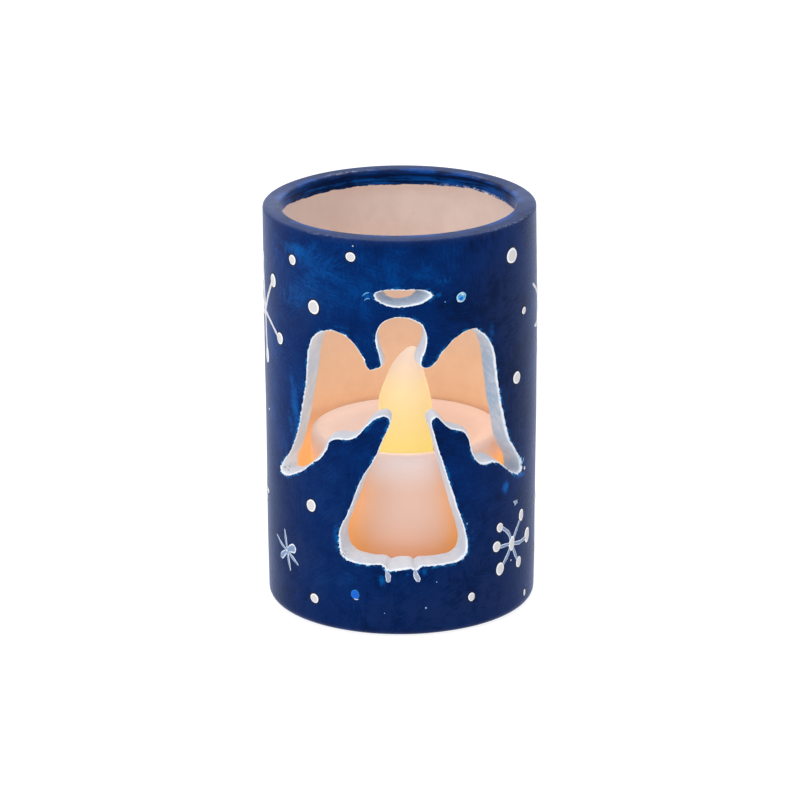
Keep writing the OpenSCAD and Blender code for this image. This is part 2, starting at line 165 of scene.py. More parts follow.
# ------------------------------------------------------------------ the cut-outs
# [distance round the wall from the front line, height, how far the cut closes in towards the inner face], in mm
ANGEL = [(0, 66.5, 0), (2.2, 66, 0), (4.2, 64.8, 0), (5.2, 62.5, 0), (5.1, 60, .5), (4.4, 58, .9), (4.05, 56.4, .6),
         (4.75, 55.75, 0), (6.3, 56.15, 0), (8, 58.5, 0), (10.5, 61, 0), (13, 62.4, 0), (15, 62.7, 0), (17, 61.6, 0),
         (19, 59.4, 0), (20.2, 56.5, .2), (21, 51.5, 0), (22, 46.5, 0), (23.4, 41.5, -.2), (25, 37.4, 0),
         (27.2, 34.6, 0), (29, 32, 0), (29.3, 30, .5), (28, 29.5, 1), (25.5, 30.5, 1), (23, 32.4, 1), (20.5, 34, 1),
         (18, 34.2, 1.2), (16.2, 34.8, 1.6), (14.8, 36.8, 2.3), (14, 40, 1.8), (13, 41.7, .6), (11.5, 42.3, .4),
         (9.8, 43, .3), (8.3, 44.4, .4), (7, 45.5, .5), (6.1, 44.8, .5), (6.4, 42.8, 0), (8, 37.5, 0), (10, 31, 0),
         (11.6, 26, 0), (12.8, 22.5, 0), (13.6, 18.3, 0), (13, 16, .7), (11.5, 15.1, .8), (7.5, 14.8, .8),
         (4, 14.8, .8), (3, 14, 1.1), (2.2, 14.4, 1.2), (0, 14.2, 1.6), (-2.6, 14, 1.4), (-3.8, 15.1, .8),
         (-7, 15.1, 1), (-10.5, 15.4, 1.2), (-12.5, 16.5, 1.2), (-12.9, 18.5, .3), (-12.8, 21, 0), (-11, 25, -.2),
         (-9, 30, 0), (-7.8, 33, 0), (-5.5, 37, -.3), (-4, 40.5, -.3), (-2.6, 43.3, -.4), (-2, 45, 0),
         (-2.9, 45.9, .3), (-5, 45.3, .4), (-6.6, 43.8, .4), (-8.3, 41.8, .4), (-10.3, 40.7, .5), (-12.8, 40.5, .6),
         (-14.6, 39.7, 1), (-15.4, 37.9, 2.4), (-17, 35.7, 1.8), (-19, 34.2, 1.1), (-21.5, 32.2, 1), (-25, 30.4, 1),
         (-28, 29.5, 1), (-29.5, 30.4, .5), (-28.3, 32.4, -.6), (-26, 34.7, -1.2), (-24.3, 37.5, -1.4),
         (-22.8, 41, -1.3), (-21.8, 45, -1), (-20.8, 49.5, -.8), (-20.2, 53.5, -.2), (-19.8, 57, 0), (-18.6, 60.2, 0),
         (-16.5, 62, 0), (-14, 62.6, 0), (-11.3, 62.1, 0), (-9, 60.4, 0), (-7.4, 58, 0), (-5.95, 55.35, 0),
         (-4.7, 55.7, .1), (-3.75, 56.15, .2), (-4, 58, 0), (-4.7, 60.5, -.4), (-4.8, 62.5, -.3), (-4, 64.6, 0),
         (-2.3, 66, 0)]
HALO = [(-5.3, 71.2), (-5.0, 69.9), (-3.9, 69.1), (-2, 68.5), (-0.5, 68.3), (2, 68.5), (4, 68.9), (5.3, 69.4),
        (6.3, 70.1), (6.5, 70.6), (6.2, 71.1), (5.4, 71.6), (4, 71.9), (2, 72), (-3, 71.9)]


def outline(pts):
    """The cut's outline on the outer face, and the matching outline on the inner face."""
    pts = [p if len(p) == 3 else p + (0,) for p in pts]
    c = catmull(pts, True, 0.42)
    x, y = c[:, 0], c[:, 1]
    if (x * np.roll(y, -1) - np.roll(x, -1) * y).sum() > 0: c = c[::-1]        # always clockwise
    rr = np.random.default_rng(len(pts))
    L = np.arange(len(c)) / len(c) * 2 * math.pi
    w = sum(np.sin(L * k + rr.uniform(0, 6.28)) for k in (23, 41, 67, 97)) * 0.022   # a knife's small wander
    n = normals_in(c[:, :2])
    G = lambda s0, z0, rs, rz: np.exp(-((x_ - s0) / rs) ** 2 - ((z_ - z0) / rz) ** 2)
    x_, z_ = c[:, 0], c[:, 1]
    if c[:, 2].any():        # the knife ran a little inside or outside the drawn line
        w = w + 0.10 + 0.30 * G(0, 66.5, 5, 2.5) + 0.16 * G(-5, 61, 1.5, 4) + 0.08 * G(5, 61, 1.5, 4) + 0.14 * G(-14, 62.5, 6, 2) \
            + 0.14 * G(14, 62, 6, 2) + 0.12 * G(-8.5, 58.5, 3, 3) + 0.15 * G(9, 59, 3, 3) + 0.20 * (x_ < -18) * G(-22, 46, 20, 14) \
            + 0.04 * (x_ > 18) + 0.22 * G(-29, 31, 2, 3) + 0.26 * G(-5, 37, 4, 8) + 0.10 * G(-11, 25, 2, 4) + 0.34 * G(-13, 18, 1.5, 3) \
            + 0.10 * G(9, 33, 5, 12) + 0.10 * G(-25, 39, 4, 8) + 0.12 * G(25, 40, 4, 8)
    else:
        w = w + 0.16 + 0.20 * (z_ > 70.6) + 0.22 * G(-5.3, 70.6, 1.6, 2) + 0.12 * G(6.4, 70.6, 1.4, 2)
    outer = c[:, :2] + n * w[:, None]
    if c[:, 2].any():
        k = np.exp(-(np.arange(-9, 10) / 3.6) ** 2)
        m = np.stack([np.convolve(np.concatenate([q[-9:], q, q[:9]]), k, "valid") for q in n.T], 1)
        return outer, outer + m / np.linalg.norm(m, axis=1, keepdims=True) * c[:, 2:3]
    inner = np.stack([-3.75 + (outer[:, 0] + 4.9) * 0.66, 69.05 + (outer[:, 1] - 68.45) * 0.80], 1)   # the halo narrows inwards
    return outer, inner


cuts = [outline(ANGEL), outline(HALO)]


# ------------------------------------------------------------------ the holder's surfaces
def r_out(z):
    return R - TAPER + TAPER * np.clip(z, 0, H) / H


def lean(a):
    """How much the hand-finished lip thickens inwards at each angle: most at the back, some at the front."""
    c = np.cos(a)
    return 0.12 + 0.50 * np.clip(c, 0, 1) ** 2 + 0.85 * np.clip(-c, 0, 1) ** 2 + 0.05 * np.sin(3 * a + 1) + 0.40 * np.sin(a) * np.clip(c + 0.4, 0, 1) + 0.16 * np.exp(-((a - 2.0) / 0.5) ** 2)


def place(s, z, depth, wav=1.0):
    """A point at distance s round the wall, height z, depth mm in from the outer face."""
    a = np.asarray(s) / 27.0
    bump = 0.07 * wob(a, z, 3, 7) + 0.03 * wob(a * 3, z, 5, 5, 3)
    ins = 0.10 * wob(a, z, 11, 6, 1.5)
    k = np.clip(np.asarray(depth) / WALL, 0, 1)
    u = np.clip((np.asarray(z) - 76.0) / 4.4, 0, 1)
    zz_ = np.clip(np.asarray(z) / H, 0, 1)
    swell = (0.17 + 0.12 * np.sin(a)) * np.clip(np.sin(math.pi * zz_), 0, 1) ** 0.5 * (0.55 + 0.45 * np.clip(zz_ * 2.2, 0, 1)) - 0.10 * (1 - np.clip(zz_ * 8, 0, 1))     # thrown a touch fuller in the middle
    r = r_out(z) - depth + wav * (bump * (1 - k) + ins * k) + swell * (1 - k) - k * lean(a) * u * u * (3 - 2 * u)
    return np.stack([r * np.sin(a), -r * np.cos(a), z + 0 * a], -1)


V, F3, F4 = [], [], []          # vertices and faces
B_, W_ = [], []                 # signed mm into the blue, and into the white
count = 0


def add(P, blue, white):
    global count
    P = np.asarray(P).reshape(-1, 3)
    V.append(P)
    B_.append(np.broadcast_to(blue, (len(P),)).astype(float)); W_.append(np.broadcast_to(white, (len(P),)).astype(float))
    i = np.arange(count, count + len(P)); count += len(P)
    return i


def white_reach(P):
    """How far the white strokes reach onto the outer face beside a cut, in mm."""
    s, z = P[:, 0], P[:, 1]
    g = lambda s0, z0, r: np.exp(-(((s - s0) ** 2 + (z - z0) ** 2) / r ** 2))
    w = 0.15 + 0.03 * np.sin(s * 2.1 + z) + 0.03 * np.sin(z * 3.3 - s)
    w += 0.10 * g(5.8, 70.6, 1.3) + 0.10 * g(-5, 70, 1.2) + 0.08 * g(0, 68.2, 3) + 0.25 * g(-29, 31, 1.6)
    w += 0.12 * g(29, 31, 2.2) + 0.12 * g(4, 65, 1) + 0.3 * g(-4.8, 61, 0.8) + 0.25 * g(-7, 57.6, 0.7)
    w += 0.12 * g(-2.8, 14, 1) + 0.10 * g(3, 14, 1) + 0.18 * g(13.6, 17.5, 2) + 0.2 * g(-12.8, 18, 2.5)
    w -= np.where((s < -18) & (z > 33) & (z < 60), 0.05, 0) + np.where((s > 18) & (z > 33) & (z < 60), 0.05, 0)
    return w


def surface(depth, nseg, rows, loops, step, half, zlo, zhi, fields):
    """A full cylinder face: a regular grid, and a triangulated window with the cut outlines in it.
    Returns the index ring of the first and last row, and each loop's vertex indices."""
    ncol = nseg
    S = (np.arange(ncol) - ncol // 2) * (2 * math.pi * 27 / ncol)
    keep = np.ones((len(rows), ncol), bool)
    c0, c1 = np.searchsorted(S, -half), np.searchsorted(S, half)
    i0, i1 = np.searchsorted(rows, zlo), np.searchsorted(rows, zhi)
    keep[i0 + 1:i1, c0 + 1:c1] = False
    gi = -np.ones((len(rows), ncol), int)
    rr, cc = np.nonzero(keep)
    pts = np.stack([S[cc], rows[rr]], 1)
    b, w = fields(pts)
    gi[rr, cc] = add(place(pts[:, 0], pts[:, 1], depth), b, w)
    quads = []
    for i in range(len(rows) - 1):
        a = gi[i]; bb = gi[i + 1]
        q = np.stack([a, np.roll(a, -1), np.roll(bb, -1), bb], 1)
        ok = np.ones(ncol, bool)
        if i0 <= i < i1: ok[c0:c1] = False
        quads.append(q[ok])
    q = np.concatenate(quads)
    F4.append(q if depth == 0 else q[:, ::-1])
    # the window
    ring = [(i0, c) for c in range(c0, c1)] + [(i, c1) for i in range(i0, i1)] + \
           [(i1, c) for c in range(c1, c0, -1)] + [(i, c0) for i in range(i1, i0, -1)]
    ring_xy = np.array([(S[c], rows[i]) for i, c in ring]); ring_id = np.array([gi[i, c] for i, c in ring])
    xs = np.arange(-half + step * 0.4, half, step)
    inner = []
    for k, z in enumerate(np.arange(rows[i0] + step * 0.7, rows[i1] - step * 0.5, step * 0.87)):
        inner.append(np.stack([xs + (k % 2) * step / 2, np.full(len(xs), z)], 1))
    inner = np.concatenate(inner)
    lo, hi = ring_xy.min(0) + step * 0.45, ring_xy.max(0) - step * 0.45
    inner = inner[(inner > lo).all(1) & (inner < hi).all(1)]
    for lp in loops:
        d, _ = dist_to(lp, inner)
        inner = inner[(d > step * 0.6) & ~inside(lp, inner)]
    base = len(ring_xy)
    allp = [ring_xy]; edges = [(k, (k + 1) % base) for k in range(base)]
    lids = []
    for lp in loops:
        lids.append(np.arange(base, base + len(lp)))
        edges += [(base + k, base + (k + 1) % len(lp)) for k in range(len(lp))]
        allp.append(lp); base += len(lp)
    allp.append(inner)
    allp = np.concatenate(allp)
    co, _, tris, ov, _, _ = delaunay_2d_cdt([Vector(p) for p in allp], edges, [], 0, 1e-7)
    co = np.array([(c.x, c.y) for c in co])
    back = np.full(len(co), -1)
    for k, o in enumerate(ov):
        if o: back[k] = o[0]
    gid = np.full(len(allp), -1)
    gid[:len(ring_id)] = ring_id
    b, w = fields(allp[len(ring_id):])
    gid[len(ring_id):] = add(place(allp[len(ring_id):, 0], allp[len(ring_id):, 1], depth), b, w)
    T = np.array([t for t in tris if len(t) == 3])
    cen = co[T].mean(1)
    ok = (cen > ring_xy.min(0)).all(1) & (cen < ring_xy.max(0)).all(1)
    for lp in loops: ok &= ~inside(lp, cen)
    T = T[ok]
    p = co[T]; area = (p[:, 1, 0] - p[:, 0, 0]) * (p[:, 2, 1] - p[:, 0, 1]) - (p[:, 2, 0] - p[:, 0, 0]) * (p[:, 1, 1] - p[:, 0, 1])
    T[area < 0] = T[area < 0][:, ::-1]
    T = gid[back[T]]
    F3.append(T if depth == 0 else T[:, ::-1])
    return gi[0], gi[-1], [gid[l] for l in lids]


EDGE = 0.22
RIM, FOOT = 1.4, 2.0
out_loops = [o - normals_in(o) * EDGE for o, i in cuts]
in_loops = [i - normals_in(i) * EDGE for o, i in cuts]


def fields_out(p):
    d = np.full(len(p), 1e9); w = np.full(len(p), -9.0)
    for o, i in cuts:
        dd, j = dist_to(o, p)
        d = np.minimum(d, dd)
        w = np.maximum(w, white_reach(o)[j] - dd)
    return np.full(len(p), 6.0), w


LIP = 2.7


def fields_in(p):
    w = np.full(len(p), -9.0)
    for o, i in cuts:
        dd, j = dist_to(i, p)
        w = np.maximum(w, 0.25 - dd)
    a = p[:, 0] / 27
    q = lambda a0, w: np.exp(-(((a - a0 + math.pi) % (2 * math.pi) - math.pi) / w) ** 2)
    lip = p[:, 1] - (H - LIP - 0.35 * np.cos(a + math.pi) + 0.06 * np.sin(13 * a + 1) + 0.05 * np.sin(29 * a) + 0.04 * np.sin(61 * a)
                     + 0.30 * q(2.55, 0.3) - 0.35 * q(1.95, 0.2) - 0.22 * q(-2.3, 0.2) + 0.3 * q(-1.75, 0.2))
    return lip, w


NO, NI = 288, 144
rows_o = np.linspace(FOOT, H - RIM, 132)
rows_i = np.concatenate([np.linspace(FLOOR + 2, 74, 62), np.linspace(74.6, H - RIM, 11)])
lo_o, hi_o, loops_o = surface(0, NO, rows_o, out_loops, 0.6, 32.6, 9.5, 76, fields_out)
lo_i, hi_i, loops_i = surface(WALL, NI, rows_i, in_loops, 1.0, 34.0, 10.5, 73.6, fields_in)

# walls of the cuts
for (o, i), a, b in zip(cuts, loops_o, loops_i):
    prev = a
    rings = []
    for ang in (30, 60, 90):
        q = math.radians(ang)
        rings.append((EDGE * (1 - math.sin(q)), EDGE * (1 - math.cos(q)), 0))
    for t in (0.12, 0.3, 0.5, 0.7, 0.88):
        rings.append((0, EDGE + (WALL - 2 * EDGE) * t, 1))
    for ang in (90, 60, 30):
        q = math.radians(ang)
        rings.append((EDGE * (1 - math.sin(q)), WALL - EDGE * (1 - math.cos(q)), 0))
    idx = np.arange(len(o))
    for off, dep, mid in rings:
        t = dep / WALL
        p = o * (1 - t) + i * t
        n = normals_in(p)
        p = p - n * off
        if mid:
            p = p + n * (0.05 * np.sin(idx * 0.21 + dep * 1.9) + 0.03 * np.sin(idx * 0.53 - dep))[:, None]
        w = white_reach(o) + dep * 0.9 if dep < WALL * 0.6 else np.full(len(o), 0.25 + (WALL - dep))
        cur = add(place(p[:, 0], p[:, 1], dep), -dep - 0.2, w)
        F4.append(np.stack([prev, cur, np.roll(cur, -1), np.roll(prev, -1)], 1))
        prev = cur
    F4.append(np.stack([prev, b, np.roll(b, -1), np.roll(prev, -1)], 1))

# rim: rounded outer and inner edges, with the slight sag of hand-rolled clay
AO = (np.arange(NO) - NO // 2) * (2 * math.pi / NO)


def ring_at(r, z, A, blue, white=-9.0):
    P = np.stack([r * np.sin(A), -r * np.cos(A), z + 0 * A], 1)
    return add(P, blue, white)


def bridge(a, b, flip=False):
    """Joins two rings, of one count or of two to one."""
    if len(a) == len(b):
        q = np.stack([a, np.roll(a, -1), np.roll(b, -1), b], 1)
        F4.append(q[:, ::-1] if flip else q)
    else:                       # a has twice as many as b
        a2 = a.reshape(-1, 2); an = np.roll(a2, -1, 0); bn = np.roll(b, -1)
        t = [np.stack([a2[:, 0], a2[:, 1], b], 1), np.stack([a2[:, 1], bn, b], 1), np.stack([a2[:, 1], an[:, 0], bn], 1)]
        for x in t: F3.append(x[:, ::-1] if flip else x)


co_all = np.concatenate(V)
ro_top = np.hypot(co_all[hi_o][:, 0], co_all[hi_o][:, 1]); ri_top = np.hypot(co_all[hi_i][:, 0], co_all[hi_i][:, 1])
ri2 = np.interp(AO, np.append(AO[::2], -AO[0]), np.append(ri_top, ri_top[0]))
cf, cb = np.clip(np.cos(AO), 0, 1) ** 2, np.clip(-np.cos(AO), 0, 1) ** 2
rho_o = 0.50 - 0.12 * cf + 0.35 * cb + 0.06 * np.sin(5 * AO + 1) + 0.40 * np.exp(-((AO + 2.0) / 0.6) ** 2) + 0.25 * np.exp(-((AO - 2.0) / 0.5) ** 2); rho_i = 0.70 - 0.30 * cf + 0.55 * cb + 0.06 * np.sin(4 * AO)
sag = 0.04 * wob(AO, 0, 21, 6) - 0.04 - 0.08 * np.exp(-((np.abs(AO) - 2.0) / 0.5) ** 2) + 0.04 * np.sin(AO) * np.clip(np.cos(AO), 0, 1)
prev = hi_o
for ang in (0, 15, 30, 45, 60, 75, 90):
    q = math.radians(ang)
    cur = ring_at(ro_top - rho_o + rho_o * math.cos(q), H - rho_o + rho_o * math.sin(q) + sag * math.sin(q), AO, 6.0)
    bridge(prev, cur); prev = cur
cur = ring_at((ro_top - rho_o + ri2 + rho_i) / 2, H + sag - 0.02, AO, 6.0)
bridge(prev, cur); prev = cur
for ang in (90, 75, 60, 45, 30, 15):
    q = math.radians(ang)
    cur = ring_at(ri2 + rho_i - rho_i * math.cos(q), H - rho_i + rho_i * math.sin(q) + sag * math.sin(q), AO, 4.0)
    bridge(prev, cur); prev = cur
bridge(prev, hi_i)

# foot and underside
ro_bot = np.hypot(co_all[lo_o][:, 0], co_all[lo_o][:, 1])
prev = lo_o
for ang in (15, 30, 45, 60, 75, 90):
    q = math.radians(ang)
    blue = 6.0 if ang < 60 else (1.2 if ang < 80 else -0.1)
    cur = ring_at(ro_bot - FOOT + FOOT * math.cos(q), FOOT - FOOT * math.sin(q) + 0 * AO, AO, blue + 0.25 * np.sin(AO * 9) * np.sin(AO * 4 + 1))
    bridge(prev, cur, True); prev = cur
for r in (22.5, 19, 14, 9, 4.5, 1.2):
    cur = ring_at(r + 0 * AO, 0.0, AO, -(24 - r) * 1.0)
    bridge(prev, cur, True); prev = cur
c = add([[0, 0, 0.0]], -20, -9)
F3.append(np.stack([prev, np.full(NO, c[0]), np.roll(prev, -1)], 1)[:, [0, 2, 1]][:, ::-1])
# inner floor
AI = (np.arange(NI) - NI // 2) * (2 * math.pi / NI)
ri_bot = np.hypot(co_all[lo_i][:, 0], co_all[lo_i][:, 1])
prev = lo_i
for ang in (22, 45, 68, 90):
    q = math.radians(ang)
    cur = ring_at(ri_bot - 2 + 2 * math.cos(q), FLOOR + 2 - 2 * math.sin(q) + 0 * AI, AI, -9)
    bridge(prev, cur); prev = cur
for r in (19, 16, 12, 8, 4, 1.2):
    A = AI; dz = 0.0
    cur = ring_at(r + 0 * AI, FLOOR + 0 * AI, AI, -9)
    bridge(prev, cur); prev = cur
c = add([[0, 0, FLOOR]], -9, -9)
F3.append(np.stack([prev, np.roll(prev, -1), np.full(NI, c[0])], 1))

holder = new_mesh("holder_clay", np.concatenate(V), [np.concatenate(F3), np.concatenate(F4)],
                  {"blue": np.concatenate(B_), "white": np.concatenate(W_)})


# ------------------------------------------------------------------ material helpers
def N(t, kind, ins=None, **props):
    n = t.nodes.new("ShaderNode" + kind)
    for k, v in props.items(): setattr(n, k, v)
    for k, v in (ins or {}).items():
        s = n.inputs[k]
        if isinstance(v, bpy.types.NodeSocket): t.links.new(v, s)
        else: s.default_value = v
    return n


def Mt(t, op, a, b=0.0, c=0.0, clamp=False):
    return N(t, "Math", {0: a, 1: b, 2: c}, operation=op, use_clamp=clamp).outputs[0]


def ramp(t, v, lo, hi, a=0.0, b=1.0, smooth=True):
    n = N(t, "MapRange", {"Value": v, "From Min": lo, "From Max": hi, "To Min": a, "To Max": b})
    n.interpolation_type = "SMOOTHSTEP" if smooth else "LINEAR"
    return n.outputs[0]


def mix(t, f, a, b, mode="MIX"):
    n = t.nodes.new("ShaderNodeMix"); n.data_type = "RGBA"; n.blend_type = mode
    for i, v in ((0, f), (6, a), (7, b)):
        if isinstance(v, bpy.types.NodeSocket): t.links.new(v, n.inputs[i])
        else: n.inputs[i].default_value = v if i == 0 else (tuple(v) + (1,))[:4]
    return n.outputs[2]


def coords(t, scale=(1, 1, 1), rot=(0, 0, 0)):
    """Object coordinates in mm, turned and then stretched."""
    tc = N(t, "TexCoord")
    a = N(t, "Mapping", {"Vector": tc.outputs["Object"], "Rotation": rot, "Scale": (1000, 1000, 1000)})
    return N(t, "Mapping", {"Vector": a.outputs[0], "Scale": scale}).outputs[0]


def noise(t, vec, scale, detail=3.0, rough=0.55, dist=0.0):
    return N(t, "TexNoise", {"Vector": vec, "Scale": scale, "Detail": detail, "Roughness": rough, "Distortion": dist}).outputs["Fac"]


def attr(t, name):
    return N(t, "Attribute", attribute_name=name).outputs["Fac"]


def srgb(r, g, b):
    f = lambda c: c / 12.92 if c <= 0.04045 else ((c + 0.055) / 1.055) ** 2.4
    return (f(r / 255), f(g / 255), f(b / 255))


def material(name, **plain):
    m = D.materials.new(name); m.use_nodes = True
    t = m.node_tree; t.nodes.clear()
    b = N(t, "BsdfPrincipled"); o = N(t, "OutputMaterial")
    t.links.new(b.outputs[0], o.inputs["Surface"])
    for k, v in plain.items():
        b.inputs[k.replace("_", " ")].default_value = v
    return m, t, b


def bump(t, b, height, dist_mm, strength=1.0, under=None):
    ins = {"Height": height, "Distance": dist_mm * MM, "Strength": strength}
    if under is not None: ins["Normal"] = under
    n = N(t, "Bump", ins).outputs[0]
    t.links.new(n, b.inputs["Normal"])
    return n


def wear(name, lo, hi, rough, scale=0.5, metallic=0.0, bumps=0.02, grain=6.0, spec=0.5, **plain):
    """A moulded, stamped or cast surface: two tones in soft blotches, fine grain, and uneven gloss."""
    m, t, b = material(name, **plain)
    b.inputs["Metallic"].default_value = metallic
    b.inputs["Specular IOR Level"].default_value = spec
    v = coords(t)
    big, fine = noise(t, v, scale, 4), noise(t, v, grain, 3)
    t.links.new(mix(t, ramp(t, big, 0.35, 0.65), lo, hi), b.inputs["Base Color"])
    t.links.new(Mt(t, "ADD", ramp(t, fine, 0.3, 0.7, rough * 0.8, rough * 1.2), ramp(t, big, 0.3, 0.7, -0.03, 0.03)), b.inputs["Roughness"])
    bump(t, b, fine, bumps)
    return m


# ------------------------------------------------------------------ painted clay
clay, t, b = material("clay_coat", IOR=1.055, Sheen_Weight=0.45, Sheen_Roughness=0.335, Sheen_Tint=(0.64, 0.74, 1.0, 1))
v = coords(t)
blue_d, white_d, tone_and_painted_light_a, bright_a, wash_a, rag_a, dep_a, slate_a = [attr(t, k) for k in ("blue", "white", "tone_and_painted_light", "bright", "wash", "rag", "dep", "slate")]
lip_a, scuff_highlight_shade_a, painted_glow_a, painted_fill_light_a = [attr(t, k) for k in ("lip", "scuff_highlight_and_shade", "glow", "painted_fill_light")]
n_med, n_fine, n_big, n_mid = noise(t, v, 0.9, 4), noise(t, v, 3.2, 3), noise(t, v, 0.11, 3), noise(t, v, 0.33, 4, 0.6)
streak_v = noise(t, coords(t, (1.0, 1.0, 0.12), (0, 0.12, 0)), 2.6, 5, 0.7, 0.2)
streak_h = noise(t, coords(t, (0.14, 0.14, 1.1), (0, -0.22, 0)), 2.8, 5, 0.7, 0.2)
streak_x = noise(t, coords(t, (0.18, 0.18, 1.2), (0.3, 0.62, 0.2)), 2.6, 5, 0.7, 0.2)
st = N(t, "Mix", {0: ramp(t, noise(t, v, 0.10, 3), 0.44, 0.56), 2: streak_v, 3: streak_h}).outputs[0]
st = N(t, "Mix", {0: ramp(t, noise(t, v, 0.09, 3, 0.5, 0.6), 0.48, 0.58), 2: st, 3: streak_x}).outputs[0]
BASE, LIGHT, BRIGHT, DEEP, SLATE = (0.0006, 0.0160, 0.098), (0.0002, 0.042, 0.205), (0.0004, 0.084, 0.330), (0.0008, 0.0078, 0.044), (0.0075, 0.0190, 0.076)


def off(x, k): return Mt(t, "MULTIPLY", Mt(t, "SUBTRACT", x, 0.5), k)


def total(*xs):
    r = xs[0]
    for x in xs[1:]: r = Mt(t, "ADD", r, x)
    return r


tone = total(off(n_big, 0.9), off(n_mid, 0.55), off(st, 0.95), off(n_fine, 0.55), Mt(t, "MULTIPLY", tone_and_painted_light_a, 0.46), 0.43)
c = mix(t, ramp(t, tone, 0.10, 0.55), DEEP, BASE)
c = mix(t, ramp(t, tone, 0.50, 1.05), c, LIGHT)
c = mix(t, Mt(t, "MULTIPLY", slate_a, ramp(t, total(n_mid, off(st, 0.8), off(n_big, 0.8)), 0.38, 0.62, 0.15, 0.9)), c, SLATE)
br = total(bright_a, off(st, 0.95), off(n_med, 0.5), off(n_mid, 0.5), off(n_fine, 0.4))
c = mix(t, Mt(t, "MULTIPLY", ramp(t, br, 0.30, 1.15), ramp(t, bright_a, 0.02, 0.30)), c, BRIGHT)
# the lip inside the mouth was painted in level strokes; the rim is lighter in streaks along its edges, partly from wear
# and partly as a painted highlight
lvl = noise(t, coords(t, (0.09, 0.09, 1.3)), 1.5, 4, 0.6)
lc = mix(t, ramp(t, total(lvl, off(n_mid, 0.4)), 0.40, 0.62), (0.0008, 0.009, 0.052), (0.0006, 0.064, 0.31))
c = mix(t, Mt(t, "MULTIPLY", lip_a, 0.85), c, lc)
c = mix(t, Mt(t, "MULTIPLY", scuff_highlight_shade_a, ramp(t, total(noise(t, coords(t, (0.45, 0.45, 2.0)), 2.2, 4, 0.65), off(n_fine, 0.5)), 0.46, 0.58)), c, (0.26, 0.30, 0.46))
# lighter grey-blue on the rim top: a faint even dust all round, and a painted sheen at the left and right
c = mix(t, Mt(t, "MULTIPLY", attr(t, "rim_dust_and_sheen"), ramp(t, total(n_mid, off(n_fine, 0.3)), 0.3, 0.6, 0.7, 1.0)), c, (0.26, 0.29, 0.45))
# painted shade: a dark line just under the rim's outer and inner edges, where the scuff value is negative
c = mix(t, ramp(t, scuff_highlight_shade_a, -0.05, -1.0), c, (0.001, 0.006, 0.036))
# bare clay: warm, with a few dark specks
speck = ramp(t, noise(t, v, 2.3, 2, 0.5), 0.71, 0.75)
bare = mix(t, ramp(t, n_big, 0.3, 0.7), srgb(214, 199, 195), srgb(208, 193, 189))
bare = mix(t, ramp(t, n_mid, 0.35, 0.7, 0, 0.5), bare, srgb(205, 188, 182))
bare = mix(t, Mt(t, "MULTIPLY", speck, 0.30), bare, srgb(150, 118, 100))
edge = total(blue_d, off(n_med, 0.28), off(n_fine, 0.35))
blue_m = ramp(t, edge, -0.05, 0.05)
c = mix(t, Mt(t, "MULTIPLY", Mt(t, "MULTIPLY", ramp(t, edge, 0.02, 0.22, 1, 0), ramp(t, noise(t, v, 0.5, 3), 0.56, 0.62)), 0.8), c, srgb(206, 206, 214))
fl_ = Mt(t, "MULTIPLY", Mt(t, "MULTIPLY", attr(t, "fleck"), ramp(t, edge, 0.15, 0.75, 1, 0)), ramp(t, total(n_fine, off(n_med, 0.9)), 0.50, 0.57))
c = mix(t, fl_, c, srgb(204, 212, 228))
col = mix(t, blue_m, bare, c)
# white brushed on the cut edges, ragged where the brush dragged, picking up blue where it was thin
wd = total(white_d, off(n_med, 0.22), off(n_fine, 0.26), Mt(t, "MULTIPLY", rag_a, total(off(noise(t, v, 1.7, 3, 0.6), 2.1), off(n_fine, 1.0))))
white_m = ramp(t, wd, -0.035, 0.035)
wc = mix(t, ramp(t, n_mid, 0.35, 0.7), srgb(208, 209, 215), srgb(196, 199, 209))
wc = mix(t, Mt(t, "MULTIPLY", Mt(t, "MULTIPLY", wash_a, ramp(t, dep_a, 0.12, 0.55)), ramp(t, total(n_med, off(n_mid, 0.6)), 0.30, 0.62, 0.45, 1.0)), wc, srgb(150, 173, 198))
# painted light: the cut wall by the left wing tip is brightened to near white
wc = mix(t, painted_fill_light_a, wc, srgb(238, 239, 242))
# painted highlight: the white on the cut walls is lighter close to the outer face, like a lit edge
wc = mix(t, Mt(t, "MULTIPLY", ramp(t, total(dep_a, off(n_fine, 0.5), off(n_med, 0.3)), 0.30, 0.06), 0.8), wc, srgb(232, 238, 246))
wc = mix(t, Mt(t, "MULTIPLY", Mt(t, "MULTIPLY", rag_a, ramp(t, total(n_fine, off(n_med, 1.0)), 0.50, 0.66)), ramp(t, wd, 0.0, 0.7, 1.0, 0.0)), wc, srgb(120, 184, 226))
scr = Mt(t, "MULTIPLY", attr(t, "scr"), ramp(t, noise(t, coords(t, (1, 1, 0.4), (0, 0.5, 0)), 3.4, 2, 0.6), 0.54, 0.60))
wc = mix(t, scr, wc, srgb(72, 84, 110))
smear = Mt(t, "MULTIPLY", ramp(t, wd, -0.75, -0.02), Mt(t, "MULTIPLY", ramp(t, total(n_med, off(n_mid, 0.9), off(st, 0.5)), 0.47, 0.62), total(Mt(t, "MULTIPLY", rag_a, 0.85), 0.22)))
col = mix(t, Mt(t, "MULTIPLY", smear, ramp(t, blue_d, 0.0, 0.5)), col, (0.006, 0.17, 0.44))
col = mix(t, white_m, col, wc)
t.links.new(col, b.inputs["Base Color"])
